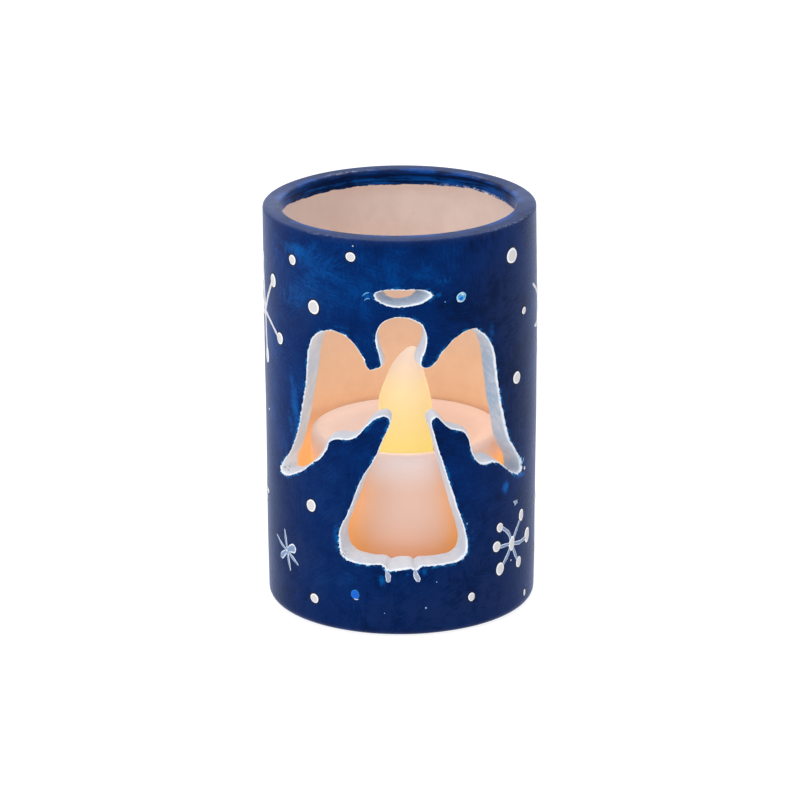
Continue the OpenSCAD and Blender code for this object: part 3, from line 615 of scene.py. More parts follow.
# painted glow: emission on the bare clay inside, fading out upwards, stands in for the votive's warm light on the clay
# beside and behind it
t.links.new(mix(t, Mt(t, "SUBTRACT", 1.0, blue_m), (0, 0, 0), (0.62, 0.25, 0.045)), b.inputs["Emission Color"])
t.links.new(Mt(t, "MULTIPLY", painted_glow_a, ramp(t, n_big, 0.3, 0.7, 0.92, 1.08)), b.inputs["Emission Strength"])
rough = N(t, "Mix", {0: blue_m, 2: 0.92, 3: ramp(t, st, 0.3, 0.7, 0.50, 0.38)}).outputs[0]
t.links.new(N(t, "Mix", {0: white_m, 2: rough, 3: 0.62}).outputs[0], b.inputs["Roughness"])
hgt = total(Mt(t, "MULTIPLY", st, N(t, "Mix", {0: Mt(t, "MAXIMUM", white_m, Mt(t, "SUBTRACT", 1.0, blue_m)), 2: 0.55, 3: 0.06}).outputs[0]),
            Mt(t, "MULTIPLY", n_fine, 0.12), Mt(t, "MULTIPLY", n_med, 0.12), Mt(t, "MULTIPLY", white_m, 0.5), Mt(t, "MULTIPLY", blue_m, 0.3))
bump(t, b, hgt, 0.08)
holder.data.materials.append(clay)

# per-vertex tone of the blue coat: broad lighter and darker areas, partly uneven paint and partly painted light
# (lighter on the left, darker on the right and low in the middle), and the bright touches
P = np.concatenate(V); az = np.arctan2(P[:, 0], -P[:, 1]); S_, Z_ = az * 27, P[:, 2]


def spot(s0, z0, rs, rz=None, tilt=0.0):
    ds = (S_ - s0 + 84.8) % 169.6 - 84.8; dz = Z_ - z0; k = math.radians(tilt)
    u = ds * math.cos(k) + dz * math.sin(k); w = -ds * math.sin(k) + dz * math.cos(k)
    return np.exp(-((u / rs) ** 2 + (w / (rz or rs)) ** 2))


outer_m = (np.hypot(P[:, 0], P[:, 1]) > 25.6)
# broad tone: partly uneven paint, partly painted light, lighter on the left and darker on the right and low in the
# middle
tone_and_painted_light = 0.75 * spot(-17, 72, 15, 9) + 0.35 * spot(-33, 52, 4.5, 28) + 0.55 * spot(-24, 52, 7, 16) + 0.45 * spot(4, 74, 14, 5) + 0.5 * spot(-18, 24, 8, 10) \
    + 0.35 * spot(-12, 8, 12, 5) - 0.5 * spot(20, 68, 9, 10) - 0.35 * spot(26, 50, 8, 12) - 0.35 * spot(5, 5, 16, 6) \
    + 0.3 * spot(12, 31, 5, 6) + 0.4 * spot(60, 60, 16, 16) - 0.4 * spot(70, 25, 18, 16) + 0.5 * spot(-65, 45, 16, 22) - 0.3 * spot(-50, 12, 15, 8)
bright = 0.75 * spot(-23, 77.4, 5.5, 1.7) + 0.32 * spot(-35, 73, 4.5, 8) + 0.35 * spot(-20, 72, 5, 6) + 0.75 * spot(-23.6, 45, 1.9, 10, 9) + 0.5 * spot(-27.5, 36, 1.6, 4, 35) + 0.42 * spot(-11.0, 11.6, 2.4, 2.6) \
    + 1.2 * spot(23.5, 28, 1.0, 1.4, -30) + 1.2 * spot(28.8, 29.0, 2.6, 0.55, -8) + 1.0 * spot(-3.9, 12.0, 0.9, 1.3) + 1.0 * spot(4.6, 13.6, 0.7, 1.1) + 0.8 * spot(1.2, 13.2, 0.6, 0.9) \
    + 0.9 * spot(-6.3, 70.3, 1.0, 0.7) + 0.9 * spot(7.6, 70.4, 0.8, 0.7) + 0.7 * spot(19.5, 61.5, 1.2, 2.2) + 0.6 * spot(-6.5, 43, 1.6, 0.9, 40) \
    + 0.7 * spot(-13.5, 20, 0.9, 3.5) + 0.6 * spot(-12, 63.5, 3.5, 0.7) + 0.38 * spot(-12, 74, 8, 3.4, 12) + 0.5 * spot(-24, 67, 5, 4) \
    + 0.5 * spot(15, 20, 0.8, 3) + 0.45 * spot(9, 73.4, 5, 1.4) + 0.6 * spot(-31, 31, 1.0, 1.0) + 0.5 * spot(-25.5, 41.5, 0.8, 3.5, 20) \
    + 0.8 * spot(58, 66, 5, 2, 20) + 0.8 * spot(-60, 30, 4, 5) + 0.6 * spot(78, 40, 6, 3, -20) + 0.7 * spot(-80, 70, 6, 3) + 0.6 * spot(48, 12, 4, 3)
wash = 0.80 * spot(0.5, 70, 7, 3) + 0.95 * spot(22, 50, 4, 17, 8) + 0.4 * spot(29, 31, 3, 2) \
    + 0.25 * spot(13, 20, 2, 6) + 0.18 * spot(-20.5, 50, 2, 12)
rag = 0.30 + 0.5 * spot(-22, 44, 3.5, 14, 8) + 0.6 * spot(22.5, 44, 3.5, 13, -10) + 0.5 * spot(-29, 31, 4) + 0.7 * spot(29, 31, 4) + 0.25 * spot(13, 18, 3) \
    + 0.3 * spot(-13, 18, 3) - 0.22 * spot(0, 62, 6) + 0.25 * spot(18, 61, 4, 3) + 0.15 * spot(0, 15, 14, 3)
slate = 0.95 * spot(-26, 20, 14, 14) + 0.75 * spot(22, 12, 16, 12) + 0.55 * spot(2, 4, 22, 6) + 0.7 * spot(27, 50, 8, 22) + 0.5 * spot(-23, 70, 7, 6) \
    + 0.75 * spot(-22.5, 62, 5, 6) + 0.5 * spot(22, 70, 8, 10) + 0.5 * spot(70, 50, 16, 22) + 0.5 * spot(-60, 50, 14, 20)
scr_ = 1.0 * spot(-11.9, 16.3, 0.8, 0.5) + 0.5 * spot(-28.5, 30.6, 1.2, 0.8) + 0.5 * spot(27.5, 31.6, 1.4, 0.8)
dep = r_out(P[:, 2]) - np.hypot(P[:, 0], P[:, 1])
rad = np.hypot(P[:, 0], P[:, 1]); inner_k = np.clip((dep - 3.2) / 0.4, 0, 1)
lipk = np.clip((Z_ - 77.0) / 0.6, 0, 1) * np.clip((dep - 2.2) / 0.5, 0, 1)
# painted glow on the bare clay inside, fading out above the votive
painted_glow_k = inner_k * np.clip((Z_ - 3.0) / 4, 0, 1) * 0.15 * np.clip((64 - Z_) / 22, 0, 1)
win = lambda s0, w: spot(s0, 0, w, 1e6)
# rim streaks: lighter along the outer edge at the front and the inner edge at the back (partly wear, partly painted
# highlight), and darker bands just under both edges (painted shade)
scuff_highlight_and_shade = 0.50 * np.exp(-((P[:, 2] - H + 0.12) / 0.16) ** 2) * np.exp(-((dep - 0.22) / 0.22) ** 2) * (win(26, 11) + 0.9 * win(-16, 4)) \
    + 0.9 * np.exp(-((P[:, 2] - H + 0.10) / 0.2) ** 2) * np.exp(-((dep - 3.1) / 0.6) ** 2) * (win(-72, 7) + 0.5 * win(66, 5)) \
    - 0.9 * np.exp(-((P[:, 2] - H + 0.95) / 0.34) ** 2) * (np.abs(dep) < 0.4) * (0.25 + 0.75 * win(38, 9)) \
    - 0.9 * np.exp(-((P[:, 2] - H + 0.9) / 0.5) ** 2) * (dep > 2.6)
# painted light on the cut wall at the lower corner of the left wing
painted_fill_light = 0.75 * spot(-28.4, 31.5, 3.5, 3.5)
# faint dust all round the rim top, plus painted sheen in two windows at the left and right
rim_dust_and_sheen = 0.30 * np.exp(-((P[:, 2] - H) / 0.4) ** 2) * (0.92 * win(-44, 12) + 0.72 * win(48, 9)) + 0.05 * np.exp(-((P[:, 2] - H) / 0.4) ** 2)
fleck = (dep > 2.6) * np.clip((Z_ - 74) / 1.5, 0, 1) * (1.0 * win(61, 8) + 0.7 * win(72, 3) + 0.4 * win(-38, 6))
for k_, a_ in (("tone_and_painted_light", tone_and_painted_light), ("bright", bright * outer_m), ("wash", np.clip(wash, 0, 1)), ("rag", np.clip(rag, 0, 1)), ("dep", dep),
               ("slate", np.clip(slate, 0, 1)), ("scr", np.clip(scr_, 0, 1)), ("lip", lipk), ("scuff_highlight_and_shade", scuff_highlight_and_shade), ("glow", painted_glow_k), ("painted_fill_light", np.clip(painted_fill_light, 0, 1)), ("fleck", np.clip(fleck, 0, 1)), ("rim_dust_and_sheen", rim_dust_and_sheen)):
    holder.data.attributes.new(k_, "FLOAT", "POINT").data.foreach_set("value", a_.astype(np.float32))
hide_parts("clay_holder"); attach(holder, "holder")


# ------------------------------------------------------------------ raised paint: dots, flakes and strokes
class Marks:
    def __init__(self): self.v, self.f3, self.f4, self.t, self.n = [], [], [], [], 0

    def pts(self, s, z, h, thick):
        P = place(np.asarray(s, float), np.asarray(z, float), -np.asarray(h, float))
        self.v.append(P.reshape(-1, 3)); self.t.append(np.broadcast_to(thick, (len(P),)).astype(float))
        i = np.arange(self.n, self.n + len(P)); self.n += len(P)
        return i

    def blob(self, s, z, rx, rz=None, h=0.17, tilt=0.0, n=30):
        """A drop of paint: a soft low dome with a slightly uneven outline."""
        rz = rz or rx; r = np.random.default_rng(int(abs(s * 131 + z * 17)) + 3); p = r.uniform(0, 6.28, 6)
        A = np.arange(n) * 2 * math.pi / n; k = math.radians(tilt)
        irr = 1 + 0.022 * np.sin(2 * A + p[0]) + 0.018 * np.sin(3 * A + p[1]) + 0.010 * np.sin(5 * A + p[2])
        sx, sz = 0.10 * math.cos(p[3]), 0.10 * math.sin(p[3])

        def ring(f, hh, th):
            u, w = rx * f * np.cos(A) * irr, rz * f * np.sin(A) * irr
            return self.pts(s + u * math.cos(k) - w * math.sin(k), z + u * math.sin(k) + w * math.cos(k),
                            hh * (1 + sx * np.cos(A) + sz * np.sin(A)), th)
        top = self.pts([s], [z], [h * 0.93], [1.0]); prev = None
        for f in (0.28, 0.52, 0.72, 0.86, 0.95, 1.0):
            cur = ring(f, h * max(0.0, 1 - f ** 5) ** 0.55 * (0.94 + 0.10 * math.sin(f * 4)), 1 - f ** 2)
            if prev is None: self.f3.append(np.stack([np.full(n, top[0]), cur, np.roll(cur, -1)], 1))
            else: self.f4.append(np.stack([prev, cur, np.roll(cur, -1), np.roll(prev, -1)], 1))
            prev = cur
        cur = ring(0.98, -0.06, 0.0)
        self.f4.append(np.stack([prev, cur, np.roll(cur, -1), np.roll(prev, -1)], 1))
        bot = self.pts([s], [z], [-0.06], [0.0])
        self.f3.append(np.stack([np.full(n, bot[0]), np.roll(cur, -1), cur], 1))

    def stroke(self, path, h=0.10, step=0.3, dry=0.0):
        """A brush stroke along [s, z, width] points, domed across, with rounded ends."""
        c = catmull([tuple(map(float, q)) for q in path], False, step)
        L = np.concatenate([[0], np.cumsum(np.hypot(*np.diff(c[:, :2], axis=0).T))])
        w = c[:, 2]; e0 = np.clip(L / (w[0] * 0.55), 0, 1); e1 = np.clip((L[-1] - L) / (w[-1] * 0.55), 0, 1)
        cap = np.sqrt(1 - (1 - e0) ** 2) * np.sqrt(1 - (1 - e1) ** 2)
        r = np.random.default_rng(int(abs(path[0][0] * 37 + path[0][1] * 91)) + 5); p = r.uniform(0, 6.28, 4)
        hw = w / 2 * np.maximum(cap, 0.06) * (1 + 0.09 * np.sin(L * 2.3 + p[0]) + 0.05 * np.sin(L * 5.1 + p[1]))
        hh = h * np.maximum(cap, 0.1) ** 0.7 * (1 + 0.18 * np.sin(L * 1.7 + p[2])) * (1 - dry * L / L[-1])
        T = np.gradient(c[:, :2], axis=0); T /= np.maximum(np.linalg.norm(T, axis=1, keepdims=True), 1e-9)
        Nn = np.stack([-T[:, 1], T[:, 0]], 1)
        X = np.array([-1, -0.86, -0.55, -0.2, 0.2, 0.55, 0.86, 1, 0.8, 0, -0.8])
        Hh = np.array([0, .52, .86, .98, 1.0, .84, .5, 0, -9, -9, -9]); m = len(X); prev = None; first = None
        rid = 1 + 0.12 * np.sin(X[None, :] * 7 + p[3] + L[:, None] * 0.6)
        for i in range(len(c)):
            q = c[i, :2] + Nn[i] * hw[i] * X[:, None]
            hgt = np.where(Hh < -1, -0.06, hh[i] * Hh * rid[i])
            cur = self.pts(q[:, 0], q[:, 1], hgt, np.where(Hh < -1, 0, (1 - np.abs(X) ** 3) * max(cap[i], 0.05)))
            if prev is None: first = cur
            else: self.f4.append(np.stack([prev, np.roll(prev, -1), np.roll(cur, -1), cur], 1))
            prev = cur
        a = self.pts([c[0, 0]], [c[0, 1]], [-0.02], [0.0])[0]; z = self.pts([c[-1, 0]], [c[-1, 1]], [-0.02], [0.0])[0]
        self.f3.append(np.stack([np.full(m, a), np.roll(first, -1), first], 1))
        self.f3.append(np.stack([np.full(m, z), prev, np.roll(prev, -1)], 1))

    def obj(self, name, mat, slot="painted_clay"):
        o = new_mesh(name, np.concatenate(self.v), [np.concatenate(self.f3), np.concatenate(self.f4)],
                     {"thick": np.concatenate(self.t)})
        o.data.materials.append(mat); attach(o, "holder")
        return o


def paint_mat(name, body, rim, lo=0.30, hi=0.46, var=0.10):
    """Thick paint: one tone in the middle, another towards the edge."""
    m, t, b = material(name, IOR=1.25)
    v = coords(t); th = attr(t, "thick")
    fine, med = noise(t, v, 3.4, 4), noise(t, v, 1.2, 3)
    k = total_(t, th, Mt(t, "MULTIPLY", Mt(t, "SUBTRACT", med, 0.5), var * 2), Mt(t, "MULTIPLY", Mt(t, "SUBTRACT", fine, 0.5), var))
    c = mix(t, ramp(t, fine, 0.3, 0.75, 0, 0.5), body, tuple(x * 0.88 for x in body))
    c = mix(t, ramp(t, k, lo, hi, 1.0, 0.0), c, rim)
    t.links.new(c, b.inputs["Base Color"])
    t.links.new(ramp(t, fine, 0.3, 0.7, 0.40, 0.58), b.inputs["Roughness"])
    bump(t, b, Mt(t, "ADD", fine, med), 0.03)
    return m


def total_(t, *xs):
    r = xs[0]
    for x in xs[1:]: r = Mt(t, "ADD", r, x)
    return r


white_p = paint_mat("white_paint", srgb(205, 202, 204), srgb(234, 237, 244), 0.36, 0.48, 0.06)
dry_p = paint_mat("white_paint_dry", srgb(118, 140, 176), srgb(222, 228, 238), 0.50, 0.80, 0.30)
blue_p = paint_mat("light_blue_paint", srgb(4, 92, 196), srgb(40, 120, 200), 0.10, 0.30, 0.3)
sky_p = paint_mat("sky_blue_paint", srgb(70, 156, 206), srgb(178, 212, 232), 0.20, 0.42, 0.6)
navy_p = paint_mat("dark_edge_paint", srgb(3, 10, 34), srgb(4, 14, 44), 0.1, 0.3, 0.1)

dots, flakes, blues, skies, dark = Marks(), Marks(), Marks(), Marks(), Marks()
for d in [(-23.85, 75.0, 1.0, 1.05), (-9.7, 78.0, 1.0, .98), (-18.1, 66.6, 1.38, 1.42), (25.3, 75.3, 1.66, 1.58), (29.9, 62.85, .85, .72),
          (27.1, 49.8, 1.3, 1.25), (-19.4, 25.4, 1.18, 1.3), (-18.95, 6.0, 1.05, 1.0), (14.7, 7.05, .78, .9), (31.5, 3.4, .45, .7),
          (40.6, 20.7, 1.15, 1.0), (39.3, 10.4, .6, .55), (-31.5, 68.8, 1.3, 1.35), (-28.7, 57.7, 1.2, 1.2),
          (-37.4, 23.1, .55, .5),
          # round the sides and the back
          (-44.5, 47.2, 1.2, 1.25), (-50.8, 72.6, 1.35, 1.3), (-47.8, 33.5, .9, .9), (-45.2, 9.4, 1.2, 1.1), (-59.5, 14.0, 1.0, 1.05),
          (-61.5, 62.3, 1.0, 1.0), (-74.6, 74.8, 1.3, 1.25), (-70.2, 8.6, 1.25, 1.3), (-82.0, 24.5, 1.0, 1.05), (-84.0, 61.5, 1.35, 1.35),
          (-66.4, 27.6, .8, .85), (-78.3, 44.4, 1.15, 1.1), (46.6, 75.0, 1.1, 1.2), (47.6, 42.0, 1.3, 1.3), (53.8, 30.5, .95, 1.0),
          (49.0, 8.2, 1.2, 1.2), (61.0, 72.6, 1.35, 1.35), (66.3, 7.4, .95, 1.0), (60.0, 50.2, 1.0, 1.0), (75.6, 69.5, 1.0, 1.0),
          (81.0, 9.6, 1.2, 1.15), (73.4, 34.2, 1.3, 1.3)]:
    dots.blob(*d, h=0.17)
    dark.blob(d[0], d[1], d[2] + 0.28, d[3] + 0.28, h=0.05)
for d in [(-9.2, 80.22, .15, .12), (25.5, 12.1, .20, .16), (30.75, 29.9, .3, .34), (-35.5, 41.0, .18, .22), (57.0, 61.6, .22, .2)]:
    dots.blob(*d, h=0.07, n=14)
for d in [(7.1, 11.3, .13, .12), (4.9, 6.0, .16, .2), (13.6, 22.6, .13, .2), (8.9, 68.9, .12, .1), (-3.4, 5.0, .1, .1)]:
    skies.blob(*d, h=0.05, n=12)
blues.blob(-9.4, 8.5, .88, 1.0, h=0.15, tilt=25)
flakes.stroke([(-9.75, 7.75, .16), (-9.2, 7.45, .26), (-8.65, 7.6, .16)], 0.2)
skies.blob(12.3, 69.45, .98, 1.05, h=0.15, tilt=-35)
blues.blob(12.15, 69.25, .5, .42, h=0.20, tilt=20)
flakes.blob(12.55, 70.0, .42, .2, h=0.22, tilt=-15)
flakes.stroke([(11.45, 69.0, .14), (11.6, 68.7, .26), (12.1, 68.5, .18)], 0.17)

skies.stroke([(-7.4, 70.2, .12), (-6.7, 70.9, .22), (-5.9, 71.1, .14)], 0.03)
skies.stroke([(-7.0, 69.4, .10), (-6.4, 69.9, .18), (-5.8, 69.8, .12)], 0.03)
skies.stroke([(28.9, 31.0, .16), (29.8, 31.4, .34), (30.4, 32.3, .14)], 0.04)
skies.stroke([(-3.5, 14.4, .16), (-3.1, 13.9, .30), (-2.3, 14.0, .16)], 0.05)
# the big flake on the left edge
cx, cz = -37.4, 61.0
flakes.stroke([(cx, cz, .95), (-34.4, 65.4, .75), (-32.1, 68.4, .7)], 0.13)
flakes.stroke([(cx, cz, .9), (-33.2, 59.9, .6), (-29.5, 57.9, .55)], 0.13)
flakes.stroke([(cx, cz, .9), (-36.9, 57.0, .8), (-36.3, 52.6, .9)], 0.13)
flakes.blob(-36.1, 52.1, .95, 1.6, h=0.19)
flakes.stroke([(cx, cz, .9), (-38.6, 65.8, .85), (-39.7, 70.4, .7)], 0.13)
flakes.stroke([(cx, cz, .9), (-41.8, 63.4, .7), (-45.6, 66.0, .6)], 0.13)
flakes.stroke([(cx, cz, .9), (-41.6, 59.0, .75), (-44.8, 56.1, .6)], 0.13)
for d in [(-40.0, 71.3, 1.0, 1.1), (-46.4, 66.6, 1.2, 1.1), (-45.6, 55.4, 1.1, 1.2)]: flakes.blob(*d, h=0.19)
flakes.stroke([(-37.6, 23.1, .5), (-39.2, 23.0, .7), (-41.6, 22.5, .55)], 0.12)
flakes.stroke([(-41.8, 24.9, .5), (-41.4, 22.5, .7), (-41.0, 19.7, .5)], 0.12)
flakes.stroke([(-43.9, 23.6, .5), (-41.5, 22.5, .7), (-39.6, 20.6, .5)], 0.12)
# the big flake on the right edge
cx, cz = 42.6, 61.6
for e_ in [(35.0, 66.9, .75), (38.6, 56.9, .7), (44.6, 70.2, .85), (50.2, 64.6, .8), (48.8, 55.6, .85), (43.4, 51.6, .8)]:
    mx, mz = (cx + e_[0]) / 2 + 0.2, (cz + e_[1]) / 2 + 0.15
    flakes.stroke([(cx, cz, .95), (mx, mz, e_[2]), (e_[0], e_[1], e_[2] * .8)], 0.13)
for d in [(44.8, 71.1, 1.0, 1.15), (51.1, 64.9, 1.25, 1.1), (49.5, 54.8, 1.1, 1.2), (43.5, 50.8, 1.1, 1.1)]: flakes.blob(*d, h=0.19)
flakes.stroke([(40.0, 57.6, .7), (38.2, 57.5, .8), (36.5, 57.7, .5)], 0.12)

# the dry-brushed star on the lower left
dry = Marks()
cx, cz = -27.2, 13.9
dry.stroke([(cx, cz, .5), (-27.7, 16.2, .72), (-28.1, 18.2, .35)], 0.07)
dry.stroke([(cx, cz, .5), (-29.4, 14.6, .62), (-31.7, 16.0, .35)], 0.07)
dry.stroke([(cx, cz, .8), (-25.7, 14.7, 1.8), (-24.1, 15.1, 1.7)], 0.10)
dry.stroke([(cx, cz, .8), (-28.6, 12.8, 1.3), (-29.9, 11.7, 1.0)], 0.08)
dry.stroke([(cx, cz, .8), (-26.7, 11.8, .72), (-26.1, 9.9, .35)], 0.08)
dry.stroke([(cx, cz, .6), (-25.3, 12.9, .72), (-23.4, 11.8, .35)], 0.07)
# the dotted flake on the lower right
cx, cz = 25.7, 15.6
arms = [((22.3, 19.9), .75, (24.7, 18.0)), ((29.4, 20.3), .75, (27.5, 18.0)), ((21.2, 15.9), .7, (23.6, 15.8)), ((32.2, 15.2), .8, (29.0, 14.9)),
        ((22.2, 11.3), .8, (24.3, 13.4)), ((28.3, 10.9), .75, (26.9, 13.2))]
for (ex, ez), w_, mid in arms:
    p_ = [(cx, cz, w_ * 1.1)] + ([(mid[0], mid[1], w_)] if mid else [((cx + ex) / 2, (cz + ez) / 2 + 0.1, w_)]) + [(ex, ez, w_)]
    dry.stroke(p_, 0.09)
flakes.blob(25.7, 15.6, .95, 1.5, h=0.18, tilt=-8)
for d in [(21.85, 20.0, .9, 1.0), (29.3, 20.5, .95, 1.25), (21.0, 16.2, 1.12, 1.1), (32.3, 15.35, 1.3, 1.6), (22.05, 11.25, 1.15, 1.35), (28.4, 10.9, 1.0, 1.15)]:
    flakes.blob(*d, h=0.16)
    dark.blob(d[0], d[1], d[2] + 0.26, d[3] + 0.26, h=0.05)
# toes and the smears below the hem
toes = Marks()
toes.stroke([(-2.95, 14.1, .38), (-2.9, 13.6, .55), (-2.6, 12.8, 1.15), (-2.65, 11.5, .75)], 0.11)
toes.stroke([(2.45, 14.4, .38), (2.75, 13.8, .55), (2.95, 12.9, 1.2), (3.6, 11.6, .85)], 0.11)
dry.stroke([(26.2, 24.3, .25), (26.9, 23.9, .6), (27.9, 23.6, .3)], 0.05)
dry.stroke([(26.6, 23.3, .25), (27.2, 23.6, .4), (27.7, 24.3, .25)], 0.05)
for s0, z0, r_, k_ in [(-55.5, 43.0, 6.2, 6), (-58.0, 27.5, 3.6, 6), (-73.0, 58.0, 6.8, 6), (-76.8, 15.5, 4.6, 8), (57.6, 17.6, 5.2, 6), (66.0, 60.8, 6.0, 6),
                       (74.2, 19.6, 4.2, 8), (82.6, 48.0, 6.4, 6), (63.0, 38.6, 3.8, 6)]:
    r = np.random.default_rng(int(s0 * s0 + z0)); o_ = r.uniform(0, 1)
    tgt = dry if k_ == 8 else flakes
    for j in range(k_):
        a_ = 2 * math.pi * (j + o_) / k_ + r.uniform(-0.1, 0.1); l_ = r_ * r.uniform(0.85, 1.1)
        ex, ez = s0 + l_ * math.cos(a_), z0 + l_ * math.sin(a_)
        tgt.stroke([(s0, z0, .85), (s0 + l_ * .5 * math.cos(a_ + .06), z0 + l_ * .5 * math.sin(a_ + .06), .7), (ex, ez, .55)], 0.12)
        if k_ == 6: flakes.blob(ex, ez, r.uniform(.8, 1.15), r.uniform(.85, 1.25), h=0.18)
    if k_ == 6: flakes.blob(s0, z0, 1.2, 1.3, h=0.2)
dots.obj("paint_dots", white_p); flakes.obj("paint_snowflakes", white_p); dry.obj("paint_dry_strokes", dry_p); blues.obj("paint_blue_drops", blue_p)
skies.obj("paint_sky_drops", sky_p); dark.obj("paint_dark_edges", navy_p)
toes.obj("paint_toes", paint_mat("white_paint_toes", srgb(150, 160, 180), srgb(224, 230, 240), 0.42, 0.70, 0.55))


# ------------------------------------------------------------------ the votive light
VX, VZ = 1.1, 4.6


def lathe(name, prof, n=96, cx=VX, z0=VZ, mat=None, attrs=None, shift=None, closed=True):
    """Turns a closed (r, z) outline round the candle's axis. A point with r = 0 becomes a pole."""
    prof = np.asarray(prof, float); m_ = len(prof); A = np.arange(n) * 2 * math.pi / n; v_, ids = [], []; k = 0
    for j, (r_, z_) in enumerate(prof):
        sx = shift[j] if shift is not None else 0
        if r_ < 1e-6: v_.append([[cx + sx, 0, z0 + z_]]); ids.append(np.array([k])); k += 1
        else:
            v_.append(np.stack([cx + sx + r_ * np.cos(A), r_ * np.sin(A), np.full(n, z0 + z_)], 1)); ids.append(np.arange(k, k + n)); k += n
    f3, f4 = [], []
    for j in range(m_ if closed else m_ - 1):
        a, b_ = ids[j], ids[(j + 1) % m_]
        if len(a) == 1 and len(b_) == 1: continue
        if len(a) == 1: f3.append(np.stack([np.full(n, a[0]), np.roll(b_, -1), b_], 1))
        elif len(b_) == 1: f3.append(np.stack([a, np.roll(a, -1), np.full(n, b_[0])], 1))
        else: f4.append(np.stack([a, np.roll(a, -1), np.roll(b_, -1), b_], 1))
    o = new_mesh(name, np.concatenate(v_), [np.concatenate(f3) if f3 else np.zeros((0, 3), int), np.concatenate(f4)])
    if mat: o.data.materials.append(mat)
    return o


def arc(cx, cz, r, a0, a1, n):
    return [(cx + r * math.cos(math.radians(a0 + (a1 - a0) * i / n)), cz + r * math.sin(math.radians(a0 + (a1 - a0) * i / n))) for i in range(n + 1)]


def zlerp(z0, z1, n): return np.linspace(z0, z1, n)


VR, VH = 19.0, 30.4
dish = catmull([(VR - 1.3, VH), (VR - 2.6, VH - 0.16), (VR - 4.2, VH - 0.85), (VR - 6.2, VH - 2.0), (VR - 9, VH - 3.25), (VR - 11.4, VH - 4.1),
                (6.6, 26.05), (6.0, 26.0)], False, 0.5)
prof = [(VR - 1.2, 0.12), (VR - 1.05, 0)] + [(VR - 0.3, 0)] + arc(VR - 0.3, 0.3, 0.3, -60, 0, 3)
prof += [(VR, z_) for z_ in np.linspace(1.6, VH - 3, 14)] + arc(VR - 1.3, VH - 1.3, 1.3, 0, 90, 10) + [tuple(q) for q in dish[1:]]
prof += [(5.75, 25.85), (5.6, 25.6), (5.6, 24.8), (8.4, 24.8), (VR - 9, VH - 5.0), (VR - 6, VH - 4.4), (VR - 4, VH - 3.4), (VR - 2.4, VH - 2.2),
         (VR - 1.5, VH - 2.4), (VR - 1.2, VH - 3.2), (VR - 1.2, 15), (VR - 1.2, 3)]
shell = lathe("candle_body", prof, 128)
vm, t, b = material("votive_plastic", IOR=1.4)
v = coords(t); fine, med, big = noise(t, v, 2.6, 4), noise(t, v, 0.55, 3), noise(t, v, 0.10, 2)
geo_p = N(t, "SeparateXYZ", {0: N(t, "TexCoord").outputs["Object"]})
zz = Mt(t, "MULTIPLY", geo_p.outputs[2], 1000.0)
side = Mt(t, "ABSOLUTE", Mt(t, "SUBTRACT", Mt(t, "MULTIPLY", geo_p.outputs[0], 1000.0), VX))
ax = Mt(t, "SQRT", total(Mt(t, "POWER", side, 2.0), Mt(t, "POWER", Mt(t, "MULTIPLY", geo_p.outputs[1], 1000.0), 2.0)))
rim_k = ramp(t, ax, 13.0, 18.0)
body_k = Mt(t, "MULTIPLY", ramp(t, zz, VZ + VH - 8.5, VZ + VH - 0.8, 1, 0), ramp(t, ax, 15.5, 17.5))    # 1 on the outside, 0 on the rim and dish
# painted shade and light: the shell's colour is lighter on the rim and dish and darker lower down its side
c_ = mix(t, rim_k, (0.52, 0.44, 0.46), (0.59, 0.48, 0.48))
c_ = mix(t, body_k, c_, mix(t, ramp(t, zz, 11, 27), (0.44, 0.312, 0.325), (0.53, 0.380, 0.385)))
t.links.new(mix(t, ramp(t, med, 0.3, 0.7, 0, 0.12), c_, (0.50, 0.36, 0.36)), b.inputs["Base Color"])
t.links.new(ramp(t, fine, 0.3, 0.7, 0.42, 0.56), b.inputs["Roughness"])
# painted glow: the emission stands in for the LED's light through the shell and the warm light bounced onto it from the
# clay, more orange at the sides than the middle, differing left to right, and paler on the rim and dish
hi_ = ramp(t, zz, 15, 26)
lr = ramp(t, Mt(t, "MULTIPLY", geo_p.outputs[0], 1000.0), VX - 12, VX + 12)
glow = mix(t, ramp(t, side, 3, 15), (0.25, 0.118, 0.006), mix(t, hi_, mix(t, lr, (0.49, 0.270, 0.080), (0.47, 0.222, 0.018)), (0.63, 0.275, 0.050)))
glow = mix(t, ramp(t, zz, 9, 24, 0.45, 0.0), glow, (0.56, 0.140, 0.0))
painted_top_glow = mix(t, rim_k, mix(t, lr, (0.12, 0.115, 0.14), (0.12, 0.055, 0.035)), mix(t, lr, (0.22, 0.205, 0.185), (0.23, 0.165, 0.125)))
glow = mix(t, body_k, painted_top_glow, glow)
t.links.new(glow, b.inputs["Emission Color"])
t.links.new(ramp(t, big, 0.3, 0.7, 0.96, 1.04), b.inputs["Emission Strength"])
bump(t, b, Mt(t, "ADD", fine, Mt(t, "MULTIPLY", med, 2.0)), 0.02)
shell.data.materials.append(vm)
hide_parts("candle_shell"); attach(shell, "candle")

